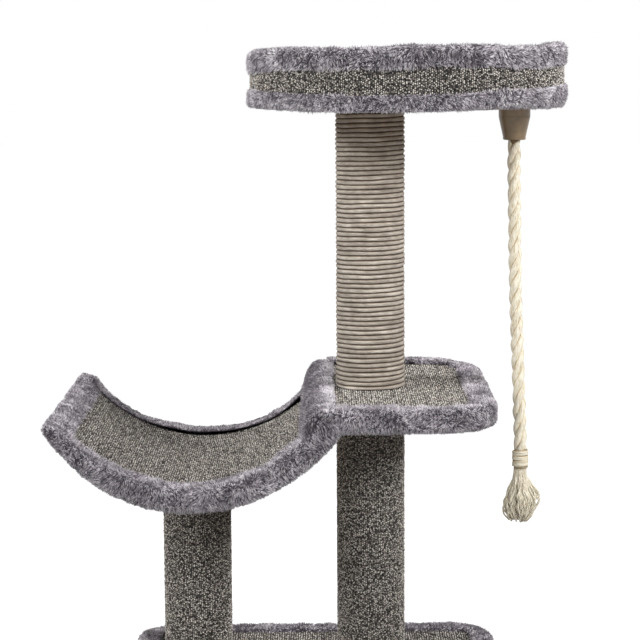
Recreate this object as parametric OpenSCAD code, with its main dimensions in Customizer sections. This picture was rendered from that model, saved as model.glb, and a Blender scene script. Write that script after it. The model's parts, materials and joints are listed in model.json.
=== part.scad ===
// Cat tree: a plush-edged base, two posts, a bent-plywood cradle, a side
// platform, a round bed on top and a rope toy that hangs from the bed.
// Millimetres. +X to the right, +Y to the back, +Z up.
// Origin: centre of the outline, on the floor.

/* [Base] */
// Width of the base over its plush edge
base_w = 500; // [490:5:640]
// Depth of the base over its plush edge
base_d = 410; // [360:5:520]
// Corner radius of the base over its plush edge
base_corner_r = 55; // [40:1:80]
// Height of the felt feet
foot_h = 4; // [3:0.5:8]
// Radius of a felt foot
foot_r = 15; // [10:0.5:18]

/* [Boards and coverings] */
// Thickness of the flat boards
board_t = 16; // [13:0.5:22]
// Thickness of the loop carpet on the boards
carpet_t = 5; // [3:0.5:6.5]
// Thickness of the plush edging outside a board's edge
plush_t = 12; // [9:0.5:15]
// How far the plush edging laps onto a board's faces
plush_lap = 22; // [16:1:26]
// Height of the plush above the carpet that it laps
plush_rise = 6.5; // [4:0.5:9]
// Depth of the plush below the platform board
plush_drop = 4; // [2:0.5:6]

/* [Posts] */
// Outer diameter of the cardboard post tubes
tube_d = 76; // [60:1:95]
// Wall of the cardboard post tubes
tube_wall = 4; // [3:0.5:6]
// Thickness of the carpet on the lower posts
post_carpet_t = 7; // [5:0.5:8]
// Diameter of the sisal rope on the upper post
sisal_d = 6.3; // [5:0.1:8]
// Height of the lower main post
lower_post_h = 360; // [300:5:440]
// Height of the sisal post
upper_post_h = 360; // [300:5:440]
// Distance of the short post from under the cradle's axis, away from the platform
short_post_shift = 3.5; // [0:0.5:8]
// Thickness of the wooden plugs in the post ends
plug_t = 18; // [15:1:22]

/* [Platform] */
// Depth of the platform and the cradle over their plush edges
deck_d = 411; // [360:5:500]
// Reach of the platform from the post's axis to its plush end
deck_reach = 154.6; // [150:0.5:158]
// Corner radius of the platform over its plush edge
deck_corner_r = 65; // [50:1:80]
// Platform board beyond the sisal, on the cradle's side
deck_overhang = 21.2; // [20:0.2:30]

/* [Cradle] */
// Inner radius of the bent plywood
cradle_r = 208; // [170:2:215]
// Thickness of the bent plywood
shell_t = 10; // [8:0.5:12]
// Angle of the cradle's free end from straight down
cradle_free_a = 48.5; // [42:0.5:52]
// Angle of the cradle's fixed end from straight down
cradle_fixed_a = 52; // [50:0.5:54]
// Radius of the plush roll on the free end
roll_r = 17; // [16:0.5:19]
// Thickness of the saddle block under the cradle
saddle_t = 5; // [4:0.5:10]

/* [Round bed] */
// Radius of the bed over its plush rims
bed_r = 205.5; // [180:0.5:250]
// Distance from the post's axis to the bed's centre
bed_offset = 46.5; // [30:0.5:55]
// Thickness of the bed's bent hoop
hoop_t = 8; // [6:0.5:10]
// Height of the bed's bent hoop
hoop_h = 64; // [58:1:80]
// Thickness of the plush rims outside the hoop
rim_t = 10.5; // [8:0.5:12]
// Height of the lower plush rim on the hoop
low_rim_h = 23; // [18:0.5:28]
// Height of the carpet band between the plush rims
band_h = 23; // [18:0.5:28]
// Height of the upper plush rim above the hoop
rim_rise = 12; // [8:0.5:14]

/* [Rope toy] */
// Distance from the bed's edge in to the toy's axis
toy_inset = 67.5; // [60:0.5:90]
// Diameter of the toy's rope
rope_d = 16; // [14:0.5:17]
// Height of the cup that holds the rope
cup_h = 42.5; // [36:0.5:50]
// Radius of the cup at the bed
cup_top_r = 21.8; // [19:0.2:24]
// Radius of the cup at its mouth
cup_mouth_r = 14.6; // [12.5:0.1:17]
// Radius of the whipping round the rope's end
whipping_r = 11; // [10:0.5:12]
// Height of the whipping
whipping_h = 23; // [15:1:30]
// Length of the tassel below the whipping
tassel_h = 72; // [55:1:85]
// Largest radius of the tassel
tassel_r = 26; // [18:0.5:30]

/* [Fasteners] */
// Shank diameter of the bolts and the stud
bolt_d = 8; // [6:0.5:9]
// Radius of the flat bolt heads
bolt_head_r = 10; // [8:0.5:11]
// Thickness of the flat bolt heads
bolt_head_t = 3; // [2:0.25:4]
// Thickness of the steel brackets
bracket_t = 2.5; // [1.5:0.5:3]
// Width of a steel bracket
bracket_w = 40; // [30:1:50]

/* [Hidden] */

$fn = 96;

// Small clearances: between coverings, round a shank and beside a soft edge
seat_gap = 0.2;
hole_gap = 0.3;
soft_gap = 0.3;
// A cutter reaches this far past the face that it cuts
over = 1;

// Plush section: edge rounding, and height of the base's plush off the floor
plush_round = 10;
base_plush_z = 1;
// Feet: distance of the corner feet from the base's plush edge
foot_inset = 54;

// Levels, from the floor up
base_top = foot_h + board_t + carpet_t;
deck_under = base_top + lower_post_h;
deck_top = deck_under + board_t + carpet_t;
bed_under = deck_top + upper_post_h;

// Radii of the posts
tube_r = tube_d / 2;
plug_r = tube_r - tube_wall - seat_gap;
post_r = tube_r + post_carpet_t;
sisal_r = tube_r + sisal_d;

// Bolts and their tee nuts
shank_r = bolt_d / 2;
nut_barrel_r = shank_r + 1.3;
nut_barrel_h = 9;
nut_flange_r = shank_r + 5.5;
nut_flange_t = 1.5;
nut_bore_r = shank_r + 0.1;
nut_hole_r = nut_barrel_r + seat_gap;
bolt_past_nut = 4;
head_recess = bolt_head_t + seat_gap;
washer_t = 1.5;
washer_r = bolt_head_r + 2;

// Wood screws
screw_r = 1.8;
screw_head_r = 4;
screw_head_h = 2.2;
screw_hole_r = screw_r + seat_gap;

// Side view of the joint between platform and cradle, measured along X from
// the main post's axis: the platform board starts at deck_from, and the
// plywood's upper corner ends cradle_lap past that, cradle_drop below the board
deck_from = -(sisal_r + deck_overhang);
cradle_lap = 5.5;
cradle_drop = 2;
cradle_from_post = deck_from + cradle_lap - cradle_r * sin(cradle_fixed_a);
cradle_z = deck_under - cradle_drop + cradle_r * cos(cradle_fixed_a);
carpet_r = cradle_r - carpet_t;
shell_r = cradle_r + shell_t;
roll_a = -cradle_free_a - 0.7;
roll_centre_r = (carpet_r + shell_r) / 2;

// The outline is centred on X = 0
left_reach = -cradle_from_post - roll_centre_r * sin(roll_a) + roll_r;
right_reach = bed_offset + bed_r;
main_x = (left_reach - right_reach) / 2;
cradle_x = main_x + cradle_from_post;
short_x = cradle_x - short_post_shift;
deck_left = main_x + deck_from;
deck_right = main_x + deck_reach;
bed_x = main_x + bed_offset;

// Cradle: heights of its plush above the carpet and below the plywood
cradle_plush_rise = 6.5;
cradle_plush_drop = 11;
// The edge plush ends a little past the plywood, and the carpet a little before it
edge_trim_past = 2;
carpet_short_a = 1.5;
// The saddle block seats on the short post
saddle_z = cradle_z - shell_r - saddle_t;

// Brackets: places across the depth, flange length and angle under the cradle
bracket_ys = [-110, 110];
bracket_flange = 38;
bracket_low_a = 40;
bracket_screw_a = 45;

// Round bed, radii and levels
hoop_outer_r = bed_r - rim_t;
hoop_inner_r = hoop_outer_r - hoop_t;
lining_t = 5;
bed_board_r = hoop_inner_r - seat_gap;
low_rim_drop = 2.5;
low_rim_lip = 18;
rim_inner_r = hoop_inner_r - rim_t;
rim_low_z = bed_under + low_rim_h + band_h;
hoop_screw_count = 8;

// Rope toy: the rope turns about the middle of the cup's mouth, on a knot
toy_x = bed_x + bed_r - toy_inset;
mouth_z = bed_under - cup_h;
knot_r = rope_d / 2;
cup_bore_r = knot_r + 0.5;
cup_bore_h = 22;
cup_band_h = 14;
cup_lip_h = 4;

// The rope's route from the cup's mouth: sideways, then down
rope_route = [[0, 8.5], [0, 20], [0, 40], [0.5, 65], [1, 90], [1.5, 115], [2, 140], [2.5, 165],
    [3, 190], [4, 215], [5, 240], [6, 265], [7, 290], [8, 315], [9, 340], [10, 365],
    [10.5, 385], [11, 395], [11, 405]];
rope_sides = 12;
rope_end = rope_route[len(rope_route) - 1];

// Colours
plush_grey = [0.58, 0.56, 0.59];
carpet_grey = [0.45, 0.43, 0.41];
sisal_tan = [0.66, 0.61, 0.54];
wood_tan = [0.72, 0.58, 0.42];
card_tan = [0.62, 0.50, 0.36];
steel_grey = [0.70, 0.71, 0.73];
cup_brown = [0.42, 0.35, 0.27];
rope_cream = [0.86, 0.81, 0.71];

// --- Shared shapes ---

// Plate with rounded corners, centred on the origin, its underside at Z = 0
module rounded_plate(w, d, r, t) {
    linear_extrude(t) {
        square([w - 2 * r, d], center = true);
        square([w, d - 2 * r], center = true);
        for (x = [-1, 1], y = [-1, 1])
            translate([x * (w / 2 - r), y * (d / 2 - r)]) circle(r);
    }
}

// Plush section. X is the distance in from the plush's outer face, and Y is
// the height. The covered edge takes up a notch from notch_lo to notch_hi.
module wrap_section(lo, hi, notch_lo, notch_hi, thick, lap) {
    round_r = min(plush_round, (hi - lo) / 2 - 1);
    difference() {
        union() {
            translate([round_r, lo]) square([thick + lap - round_r, hi - lo]);
            translate([0, lo + round_r]) square([round_r + over, hi - lo - 2 * round_r]);
            for (z = [lo + round_r, hi - round_r]) translate([round_r, z]) circle(round_r);
        }
        translate([thick, notch_lo]) square([lap + over, notch_hi - notch_lo]);
    }
}

// A section swept along +X for a length; its outer face looks to -Y
module straight_edge(length) {
    rotate([90, 0, 90]) linear_extrude(length) children();
}

// A section swept round a quarter circle of outer radius r, centred on the
// origin, from the -Y side to the +X side
module corner_edge(r) {
    rotate([0, 0, -90]) rotate_extrude(angle = 90) translate([r, 0]) mirror([1, 0]) children();
}

// A section of (radius, depth) swept along the cradle's arc, between two
// angles from straight down, positive towards the platform
module cradle_sweep(from_a, to_a) {
    translate([cradle_x, 0, cradle_z]) rotate([90, 0, 0]) rotate([0, 0, 270 + from_a])
        rotate_extrude(angle = to_a - from_a, $fn = 180) children();
}

// The cradle's layers between two radii, over a given depth
module cradle_layer(inner_r, outer_r, depth, from_a, to_a) {
    cradle_sweep(from_a, to_a) translate([inner_r, -depth / 2]) square([outer_r - inner_r, depth]);
}

// Point on the cradle's arc at a radius and an angle from straight down
function on_cradle(r, a) = [cradle_x + r * sin(a), cradle_z - r * cos(a)];

module ring(outer_r, inner_r, h) {
    difference() {
        cylinder(r = outer_r, h = h);
        translate([0, 0, -over]) cylinder(r = inner_r, h = h + 2 * over);
    }
}

// Wooden plug of a post end, with the hole for its tee nut
module post_plug() {
    color(wood_tan) ring(plug_r, nut_hole_r, plug_t);
}

// Tee nut: its flange lies at Z = 0 and its barrel points up
module tee_nut() {
    ring(nut_flange_r, nut_bore_r, nut_flange_t);
    translate([0, 0, nut_flange_t - seat_gap]) ring(nut_barrel_r, nut_bore_r, nut_barrel_h);
}

// Bolt: its flat head stands on Z = 0 and its shank points down
module flat_bolt(length) {
    color(steel_grey) {
        cylinder(r = bolt_head_r, h = bolt_head_t);
        translate([0, 0, -length]) cylinder(r = shank_r, h = length + over);
    }
}

// Screw: the underside of its head is at Z = 0 and its shank points up
module wood_screw(length) {
    translate([0, 0, -screw_head_h]) cylinder(r = screw_head_r, h = screw_head_h);
    translate([0, 0, -over]) cylinder(r = screw_r, h = length + over);
}

// --- Base ---

base_board_w = base_w - 2 * plush_t;
base_board_d = base_d - 2 * plush_t;
base_board_r = base_corner_r - plush_t;
post_xs = [main_x, short_x];

module base_board() {
    color(wood_tan) difference() {
        translate([0, 0, foot_h]) rounded_plate(base_board_w, base_board_d, base_board_r, board_t);
        for (x = post_xs) translate([x, 0, 0]) {
            cylinder(r = shank_r + hole_gap, h = base_top);
            cylinder(r = washer_r + hole_gap, h = foot_h + head_recess + washer_t);
        }
    }
}

module base_carpet() {
    color(carpet_grey) difference() {
        translate([0, 0, foot_h + board_t])
            rounded_plate(base_board_w, base_board_d, base_board_r, carpet_t);
        for (x = post_xs) translate([x, 0, 0]) cylinder(r = shank_r + hole_gap, h = base_top + over);
    }
}

module base_section() {
    wrap_section(base_plush_z, base_top + plush_rise, foot_h, base_top, plush_t, plush_lap);
}

module base_trim() {
    run_w = base_w - 2 * base_corner_r;
    run_d = base_d - 2 * base_corner_r;
    color(plush_grey) for (turn = [0, 180]) rotate([0, 0, turn]) {
        translate([-run_w / 2, -base_d / 2, 0]) straight_edge(run_w) base_section();
        translate([base_w / 2, -run_d / 2, 0]) rotate([0, 0, 90]) straight_edge(run_d) base_section();
        translate([run_w / 2, -run_d / 2, 0]) corner_edge(base_corner_r) base_section();
        translate([run_w / 2, run_d / 2, 0]) rotate([0, 0, 90]) corner_edge(base_corner_r) base_section();
    }
}

module base_feet() {
    color([0.25, 0.24, 0.24]) {
        for (x = [-1, 1], y = [-1, 1])
            translate([x * (base_w / 2 - foot_inset), y * (base_d / 2 - foot_inset), 0])
                cylinder(r = foot_r, h = foot_h);
        cylinder(r = foot_r, h = foot_h);
    }
}

// The base bolts come up through the board into the posts' foot plugs
base_bolt_z = foot_h + head_recess + washer_t;

module base_bolts() {
    reach = base_top + plug_t + nut_flange_t + bolt_past_nut - base_bolt_z + washer_t;
    for (x = post_xs) translate([x, 0, base_bolt_z - washer_t]) mirror([0, 0, 1]) flat_bolt(reach);
}

module base_washers() {
    color(steel_grey) for (x = post_xs)
        translate([x, 0, base_bolt_z - washer_t]) ring(washer_r, shank_r + hole_gap, washer_t);
}

// --- Posts ---

module post_tube(x, z, h) {
    color(card_tan) translate([x, 0, z]) ring(tube_r, tube_r - tube_wall, h);
}

module post_cover(x, z, h, outer_r) {
    translate([x, 0, z]) ring(outer_r, tube_r + seat_gap, h);
}

short_post_h = saddle_z - base_top;

module short_post_tube() post_tube(short_x, base_top, short_post_h);
module short_post_carpet() color(carpet_grey) post_cover(short_x, base_top, short_post_h, post_r);
module short_post_foot_plug() translate([short_x, 0, base_top]) post_plug();
module short_post_head_plug() translate([short_x, 0, saddle_z - plug_t]) post_plug();

module lower_post_tube() post_tube(main_x, base_top, lower_post_h);
module lower_post_carpet() color(carpet_grey) post_cover(main_x, base_top, lower_post_h, post_r);
module lower_post_foot_plug() translate([main_x, 0, base_top]) post_plug();
module lower_post_head_plug() translate([main_x, 0, deck_under - plug_t]) post_plug();

module upper_post_tube() post_tube(main_x, deck_top, upper_post_h);
module upper_post_sisal() color(sisal_tan) post_cover(main_x, deck_top, upper_post_h, sisal_r);
module upper_post_foot_plug() translate([main_x, 0, deck_top]) post_plug();
module upper_post_head_plug() translate([main_x, 0, bed_under - plug_t]) post_plug();

// A tee nut sits on the inner face of each plug, with its barrel in the plug
module tee_nuts() {
    foot_faces = [[short_x, base_top], [main_x, base_top], [main_x, deck_top]];
    head_faces = [[short_x, saddle_z], [main_x, deck_under], [main_x, bed_under]];
    color(steel_grey) {
        for (p = foot_faces)
            translate([p[0], 0, p[1] + plug_t + nut_flange_t]) mirror([0, 0, 1]) tee_nut();
        for (p = head_faces)
            translate([p[0], 0, p[1] - plug_t - nut_flange_t]) tee_nut();
    }
}

module middle_stud() {
    past = plug_t + nut_flange_t + bolt_past_nut;
    color(steel_grey) translate([main_x, 0, deck_under - past])
        cylinder(r = shank_r, h = 2 * past + deck_top - deck_under);
}

// --- Platform ---

deck_board_d = deck_d - 2 * plush_t;
deck_board_r = deck_corner_r - plush_t;

// Plate square at the cradle's end and rounded at the free end
module deck_plate(z, t) {
    length = deck_right - plush_t - deck_left;
    difference() {
        translate([deck_left, 0, z]) linear_extrude(t) {
            translate([0, -deck_board_d / 2]) square([length - deck_board_r, deck_board_d]);
            translate([0, deck_board_r - deck_board_d / 2])
                square([length, deck_board_d - 2 * deck_board_r]);
            for (y = [-1, 1])
                translate([length - deck_board_r, y * (deck_board_d / 2 - deck_board_r)])
                    circle(deck_board_r);
        }
        translate([main_x, 0, z - over]) cylinder(r = shank_r + hole_gap, h = t + 2 * over);
    }
}

bracket_x = on_cradle(shell_r, cradle_fixed_a)[0] + soft_gap;
bracket_screw_xs = [bracket_x + 14, bracket_x + 30];
bracket_screw_l = 13;

module platform_board() {
    color(wood_tan) difference() {
        deck_plate(deck_under, board_t);
        for (x = bracket_screw_xs, y = bracket_ys)
            translate([x, y, deck_under - over]) cylinder(r = screw_hole_r, h = bracket_screw_l);
    }
}

module platform_carpet() {
    color(carpet_grey) deck_plate(deck_under + board_t, carpet_t);
}

module deck_section() {
    wrap_section(deck_under - plush_drop, deck_top + plush_rise, deck_under, deck_top,
        plush_t, plush_lap);
}

module platform_trim() {
    corner_x = deck_right - deck_corner_r;
    run_y = deck_d - 2 * deck_corner_r;
    color(plush_grey) difference() {
        union() {
            for (side = [0, 1]) mirror([0, side, 0]) translate([corner_x, -run_y / 2, 0]) {
                translate([0, -deck_corner_r, 0]) mirror([1, 0, 0])
                    straight_edge(corner_x - deck_left) deck_section();
                corner_edge(deck_corner_r) deck_section();
            }
            translate([deck_right, -run_y / 2, 0]) rotate([0, 0, 90]) straight_edge(run_y)
                deck_section();
        }
        cradle_layer(carpet_r - plush_drop, shell_r + soft_gap, deck_board_d + 2 * soft_gap,
            0, cradle_fixed_a + 0.1);
    }
}

// --- Cradle ---

module cradle_saddle() {
    color(wood_tan) difference() {
        translate([short_x, 0, saddle_z]) cylinder(r = post_r, h = saddle_t + shell_t);
        translate([cradle_x, 0, cradle_z]) rotate([90, 0, 0])
            cylinder(r = shell_r + seat_gap, h = 4 * post_r, center = true, $fn = 180);
        translate([short_x, 0, saddle_z - over])
            cylinder(r = shank_r + hole_gap, h = saddle_t + 2 * over);
    }
}

module cradle_shell() {
    bottom = cradle_z - cradle_r;
    color(wood_tan) difference() {
        cradle_layer(cradle_r, shell_r, deck_board_d, -cradle_free_a, cradle_fixed_a);
        translate([short_x, 0, bottom - head_recess]) cylinder(r = bolt_head_r + hole_gap, h = shell_t);
        translate([short_x, 0, bottom - 2 * shell_t]) cylinder(r = shank_r + hole_gap, h = 2 * shell_t);
        bracket_screws_at(shell_r) cylinder(r = screw_hole_r, h = 3 * over + shell_t);
    }
}

module cradle_carpet() {
    color(carpet_grey) cradle_layer(carpet_r, cradle_r - seat_gap, deck_board_d,
        -cradle_free_a, cradle_fixed_a - carpet_short_a);
}

module cradle_bolt() {
    head_z = cradle_z - cradle_r - head_recess;
    reach = head_z - saddle_z + plug_t + nut_flange_t + bolt_past_nut;
    translate([short_x, 0, head_z]) flat_bolt(reach);
}

// The cradle's edge plush: its outer face looks to the back
module cradle_edge() {
    plush_in = carpet_r - cradle_plush_rise;
    plush_out = shell_r + cradle_plush_drop;
    difference() {
        cradle_sweep(roll_a, cradle_fixed_a + edge_trim_past)
            translate([0, -deck_d / 2]) mirror([1, 0]) rotate(90)
                wrap_section(plush_in, plush_out, carpet_r - soft_gap, shell_r + soft_gap,
                    plush_t - soft_gap, plush_lap);
        cradle_roll(roll_r + soft_gap, deck_d + 2 * over);
        translate([deck_left - soft_gap, -deck_d, deck_under - plush_drop - soft_gap])
            cube([deck_reach, 2 * deck_d, deck_corner_r]);
    }
}

module cradle_roll(r, length) {
    p = on_cradle(roll_centre_r, roll_a);
    translate([p[0], 0, p[1]]) rotate([90, 0, 0]) cylinder(r = r, h = length, center = true);
}

module cradle_back_trim() color(plush_grey) cradle_edge();
module cradle_front_trim() color(plush_grey) mirror([0, 1, 0]) cradle_edge();

module cradle_end_trim() {
    color(plush_grey) difference() {
        cradle_roll(roll_r, deck_d);
        cradle_layer(carpet_r - soft_gap, shell_r + soft_gap, deck_board_d + 2 * soft_gap,
            -cradle_free_a - 0.1, 0);
    }
}

// Plush over the step from the cradle's carpet up onto the platform
module junction_trim() {
    foot = on_cradle(carpet_r - soft_gap, cradle_fixed_a - 9.7);
    tail = on_cradle(carpet_r - soft_gap, cradle_fixed_a - carpet_short_a);
    right = main_x - sisal_r - 2;
    depth = deck_d - 2 * (plush_t + plush_lap + soft_gap);
    outline = [foot, foot + [2, 11], [deck_left - 12, deck_top - 14], [deck_left - 7, deck_top - 2],
        [deck_left, deck_top + 5], [deck_left + 10, deck_top + plush_rise], [right, deck_top + 5],
        [right, deck_top], [deck_left, deck_top], [deck_left, deck_under], tail];
    color(plush_grey) rotate([90, 0, 0]) linear_extrude(depth, center = true) polygon(outline);
}

// Steel brackets: a flange under the platform, a web, and a leg under the cradle
module cradle_brackets() {
    low = on_cradle(shell_r, cradle_fixed_a);
    color(steel_grey) for (y = bracket_ys) difference() {
        union() {
            translate([bracket_x, y - bracket_w / 2, deck_under - bracket_t])
                cube([bracket_flange, bracket_w, bracket_t]);
            translate([bracket_x, y - bracket_w / 2, low[1] - bracket_t - over])
                cube([bracket_t, bracket_w, deck_under - low[1] + bracket_t + over]);
            translate([0, y, 0]) cradle_layer(shell_r + seat_gap, shell_r + bracket_t, bracket_w,
                bracket_low_a, cradle_fixed_a - 0.2);
        }
        for (x = bracket_screw_xs) translate([x, y, deck_under - 2 * bracket_t])
            cylinder(r = screw_hole_r, h = 3 * bracket_t);
        bracket_screws_at(shell_r) translate([0, 0, -2 * bracket_t])
            cylinder(r = screw_hole_r, h = 3 * bracket_t);
    }
}

// Puts its children on each bracket's leg at a radius, their +Z pointing in
// towards the cradle's axis
module bracket_screws_at(r) {
    p = on_cradle(r, bracket_screw_a);
    for (y = bracket_ys) translate([p[0], y, p[1]]) rotate([0, -bracket_screw_a, 0]) children();
}

module bracket_screws() {
    color(steel_grey) {
        for (x = bracket_screw_xs, y = bracket_ys)
            translate([x, y, deck_under - bracket_t]) wood_screw(bracket_screw_l);
        bracket_screws_at(shell_r + bracket_t) wood_screw(bracket_t + shell_t - over);
    }
}

// --- Round bed ---

module at_bed(z) translate([bed_x, 0, bed_under + z]) children();

module bed_board() {
    color(wood_tan) difference() {
        at_bed(0) cylinder(r = bed_board_r, h = board_t, $fn = 180);
        translate([main_x, 0, bed_under - over]) cylinder(r = shank_r + hole_gap, h = board_t);
        translate([main_x, 0, bed_under + board_t - head_recess])
            cylinder(r = bolt_head_r + hole_gap, h = board_t);
        translate([toy_x, 0, bed_under - over]) cylinder(r = screw_hole_r, h = board_t);
        translate([toy_x, 0, bed_under + board_t - screw_head_h - seat_gap])
            cylinder(r = screw_head_r + hole_gap, h = board_t);
        hoop_screws_at(hoop_outer_r) cylinder(r = screw_hole_r, h = hoop_screw_l + over);
    }
}

hoop_screw_l = 28;

// Puts its children round the hoop at board height, their +Z pointing inwards
module hoop_screws_at(r) {
    at_bed(board_t / 2) for (i = [0.5 : hoop_screw_count])
        rotate([0, 0, i * 360 / hoop_screw_count]) translate([r, 0, 0]) rotate([0, -90, 0]) children();
}

module bed_hoop() {
    color(wood_tan) difference() {
        at_bed(0) rotate_extrude($fn = 180) translate([hoop_inner_r, 0]) square([hoop_t, hoop_h]);
        hoop_screws_at(hoop_outer_r + over) {
            cylinder(r = screw_hole_r, h = hoop_t + 3 * over);
            cylinder(r = screw_head_r + hole_gap, h = over + screw_head_h + seat_gap);
        }
    }
}

module bed_hoop_screws() {
    color(steel_grey) hoop_screws_at(hoop_outer_r - screw_head_h - seat_gap / 2)
        wood_screw(hoop_screw_l - screw_head_h);
}

module bed_floor_carpet() {
    color(carpet_grey) at_bed(board_t) cylinder(r = bed_board_r, h = carpet_t, $fn = 180);
}

module bed_lining() {
    color(carpet_grey) at_bed(board_t + carpet_t) rotate_extrude($fn = 180)
        translate([bed_board_r - lining_t, 0])
            square([lining_t, low_rim_h + band_h - board_t - carpet_t]);
}

module bed_band_carpet() {
    color(carpet_grey) at_bed(low_rim_h) rotate_extrude($fn = 180)
        translate([hoop_outer_r + seat_gap, 0]) square([carpet_t, band_h]);
}

module bed_lower_trim() {
    color(plush_grey) at_bed(0) rotate_extrude($fn = 180) translate([bed_r, 0]) mirror([1, 0])
        wrap_section(-low_rim_drop, low_rim_h, 0, low_rim_h + over, rim_t - seat_gap, low_rim_lip);
}

module bed_upper_trim() {
    crown_r = 13;
    width = bed_r - rim_inner_r;
    top = hoop_h + rim_rise;
    low = low_rim_h + band_h;
    color(plush_grey) at_bed(0) rotate_extrude($fn = 180) difference() {
        union() {
            translate([rim_inner_r, low]) square([width, top - crown_r - low]);
            translate([rim_inner_r + crown_r, low]) square([width - 2 * crown_r, top - low]);
            for (r = [rim_inner_r + crown_r, bed_r - crown_r])
                translate([r, top - crown_r]) circle(crown_r);
        }
        translate([hoop_inner_r - seat_gap, low - over])
            square([hoop_t + 2 * seat_gap, hoop_h + seat_gap - low + over]);
    }
}

module bed_bolt() {
    head_z = bed_under + board_t - head_recess;
    reach = board_t - head_recess + plug_t + nut_flange_t + bolt_past_nut;
    translate([main_x, 0, head_z]) flat_bolt(reach);
}

// --- Rope toy ---

module toy_cup() {
    cone_h = cup_h - cup_band_h;
    pilot_h = 13;
    edge = 1;
    color(cup_brown) translate([toy_x, 0, mouth_z]) difference() {
        rotate_extrude() polygon([[0, 0], [cup_mouth_r - edge, 0], [cup_mouth_r, edge],
            [cup_mouth_r, cup_lip_h],
            [cup_top_r - edge, cone_h - edge], [cup_top_r, cone_h],
            [cup_top_r, cup_h - edge], [cup_top_r - edge, cup_h], [0, cup_h]]);
        translate([0, 0, -over]) cylinder(r = cup_bore_r, h = cup_bore_h + over);
        translate([0, 0, cup_h - pilot_h]) cylinder(r = screw_hole_r, h = pilot_h + over);
    }
}

module toy_cup_screw() {
    head_z = bed_under + board_t - screw_head_h;
    color(steel_grey) translate([toy_x, 0, head_z]) mirror([0, 0, 1])
        wood_screw(board_t - screw_head_h + 12);
}

module toy_knot() {
    color(rope_cream) translate([toy_x, 0, mouth_z]) sphere(r = knot_r);
}

// A round tube of radius r along points in the XZ plane, given as
// [sideways, down] from the cup's mouth
module tube_along(route, r, sides) {
    last = len(route) - 1;
    function heading(i) =
        let (a = route[max(i - 1, 0)], b = route[min(i + 1, last)], d = b - a) d / norm(d);
    rings = [for (i = [0 : last], s = [0 : sides - 1])
        let (along = heading(i), turn = 360 * s / sides, out = r * cos(turn))
        [toy_x + route[i][0] + out * along[1], r * sin(turn), mouth_z - route[i][1] + out * along[0]]];
    walls = [for (i = [0 : last - 1], s = [0 : sides - 1])
        let (a = i * sides + s, b = i * sides + (s + 1) % sides) [a, b, b + sides, a + sides]];
    top = [for (s = [sides - 1 : -1 : 0]) s];
    bottom = [for (s = [0 : sides - 1]) last * sides + s];
    polyhedron(rings, concat(walls, [top, bottom]));
}

module toy_rope() {
    color(rope_cream) tube_along(rope_route, rope_d / 2, rope_sides);
}

module at_rope_end() translate([toy_x + rope_end[0], 0, mouth_z - rope_end[1]]) children();

module toy_whipping() {
    color(rope_cream) at_rope_end() translate([0, 0, -whipping_h]) cylinder(r = whipping_r, h = whipping_h);
}

module toy_tassel() {
    neck_r = whipping_r - 3;
    tip_r = tassel_r * 0.7;
    wide_h = tassel_h * 0.3;
    color(rope_cream) at_rope_end() translate([0, 0, -whipping_h - tassel_h]) rotate_extrude()
        polygon([[0, 0], [tip_r, 0], [tassel_r, wide_h], [whipping_r, 2 * wide_h],
            [neck_r, tassel_h], [0, tassel_h]]);
}

base_board();
base_carpet();
base_trim();
base_feet();
short_post_tube();
short_post_carpet();
short_post_foot_plug();
short_post_head_plug();
lower_post_tube();
lower_post_carpet();
lower_post_foot_plug();
lower_post_head_plug();
upper_post_tube();
upper_post_sisal();
upper_post_foot_plug();
upper_post_head_plug();
base_bolts();
base_washers();
tee_nuts();
middle_stud();
platform_board();
platform_carpet();
platform_trim();
cradle_saddle();
cradle_shell();
cradle_carpet();
cradle_bolt();
cradle_front_trim();
cradle_back_trim();
cradle_end_trim();
junction_trim();
cradle_brackets();
bracket_screws();
bed_board();
bed_hoop();
bed_hoop_screws();
bed_floor_carpet();
bed_lining();
bed_band_carpet();
bed_lower_trim();
bed_upper_trim();
bed_bolt();
toy_cup();
toy_cup_screw();
toy_knot();
toy_rope();
toy_whipping();
toy_tassel();
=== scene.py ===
"""Looks of the cat tree: plush edging, loop carpet, a sisal post and a rope toy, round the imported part.

Metres, in the part's own frame: +X towards the platform and the toy, +Y to the back, +Z up.
"""
import json
import math

import bmesh
import bpy
import numpy as np
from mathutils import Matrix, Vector


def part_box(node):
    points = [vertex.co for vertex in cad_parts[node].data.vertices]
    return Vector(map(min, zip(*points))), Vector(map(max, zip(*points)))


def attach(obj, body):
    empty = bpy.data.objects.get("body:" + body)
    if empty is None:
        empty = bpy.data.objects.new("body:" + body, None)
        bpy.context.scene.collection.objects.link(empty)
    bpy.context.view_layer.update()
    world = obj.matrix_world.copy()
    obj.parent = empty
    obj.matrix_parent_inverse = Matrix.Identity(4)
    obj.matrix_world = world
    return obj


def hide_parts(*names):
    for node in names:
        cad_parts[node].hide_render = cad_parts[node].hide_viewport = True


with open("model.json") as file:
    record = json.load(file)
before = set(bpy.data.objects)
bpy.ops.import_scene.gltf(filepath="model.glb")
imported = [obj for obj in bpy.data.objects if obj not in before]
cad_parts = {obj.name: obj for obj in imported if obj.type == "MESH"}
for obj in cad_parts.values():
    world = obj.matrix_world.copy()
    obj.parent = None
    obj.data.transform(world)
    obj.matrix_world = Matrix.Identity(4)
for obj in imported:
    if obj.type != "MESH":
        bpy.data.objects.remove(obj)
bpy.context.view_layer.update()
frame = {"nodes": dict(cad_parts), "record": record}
bpy.ops.object.select_all(action="DESELECT")

MM = 0.001
TINY = 0.01 * MM
UP = (0.0, 0.0, 1.0)
BACK = (0.0, 1.0, 0.0)

# Camera: its lens and sensor in mm, its place, and how far it looks down, rolls and pans, in degrees
CAMERA_LENS = 112.5
CAMERA_SENSOR = 36
CAMERA_PLACE = (0.009, -2.565, 0.840)
CAMERA_DOWN, CAMERA_ROLL, CAMERA_PAN = 7.745, 0.3, -0.04

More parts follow.
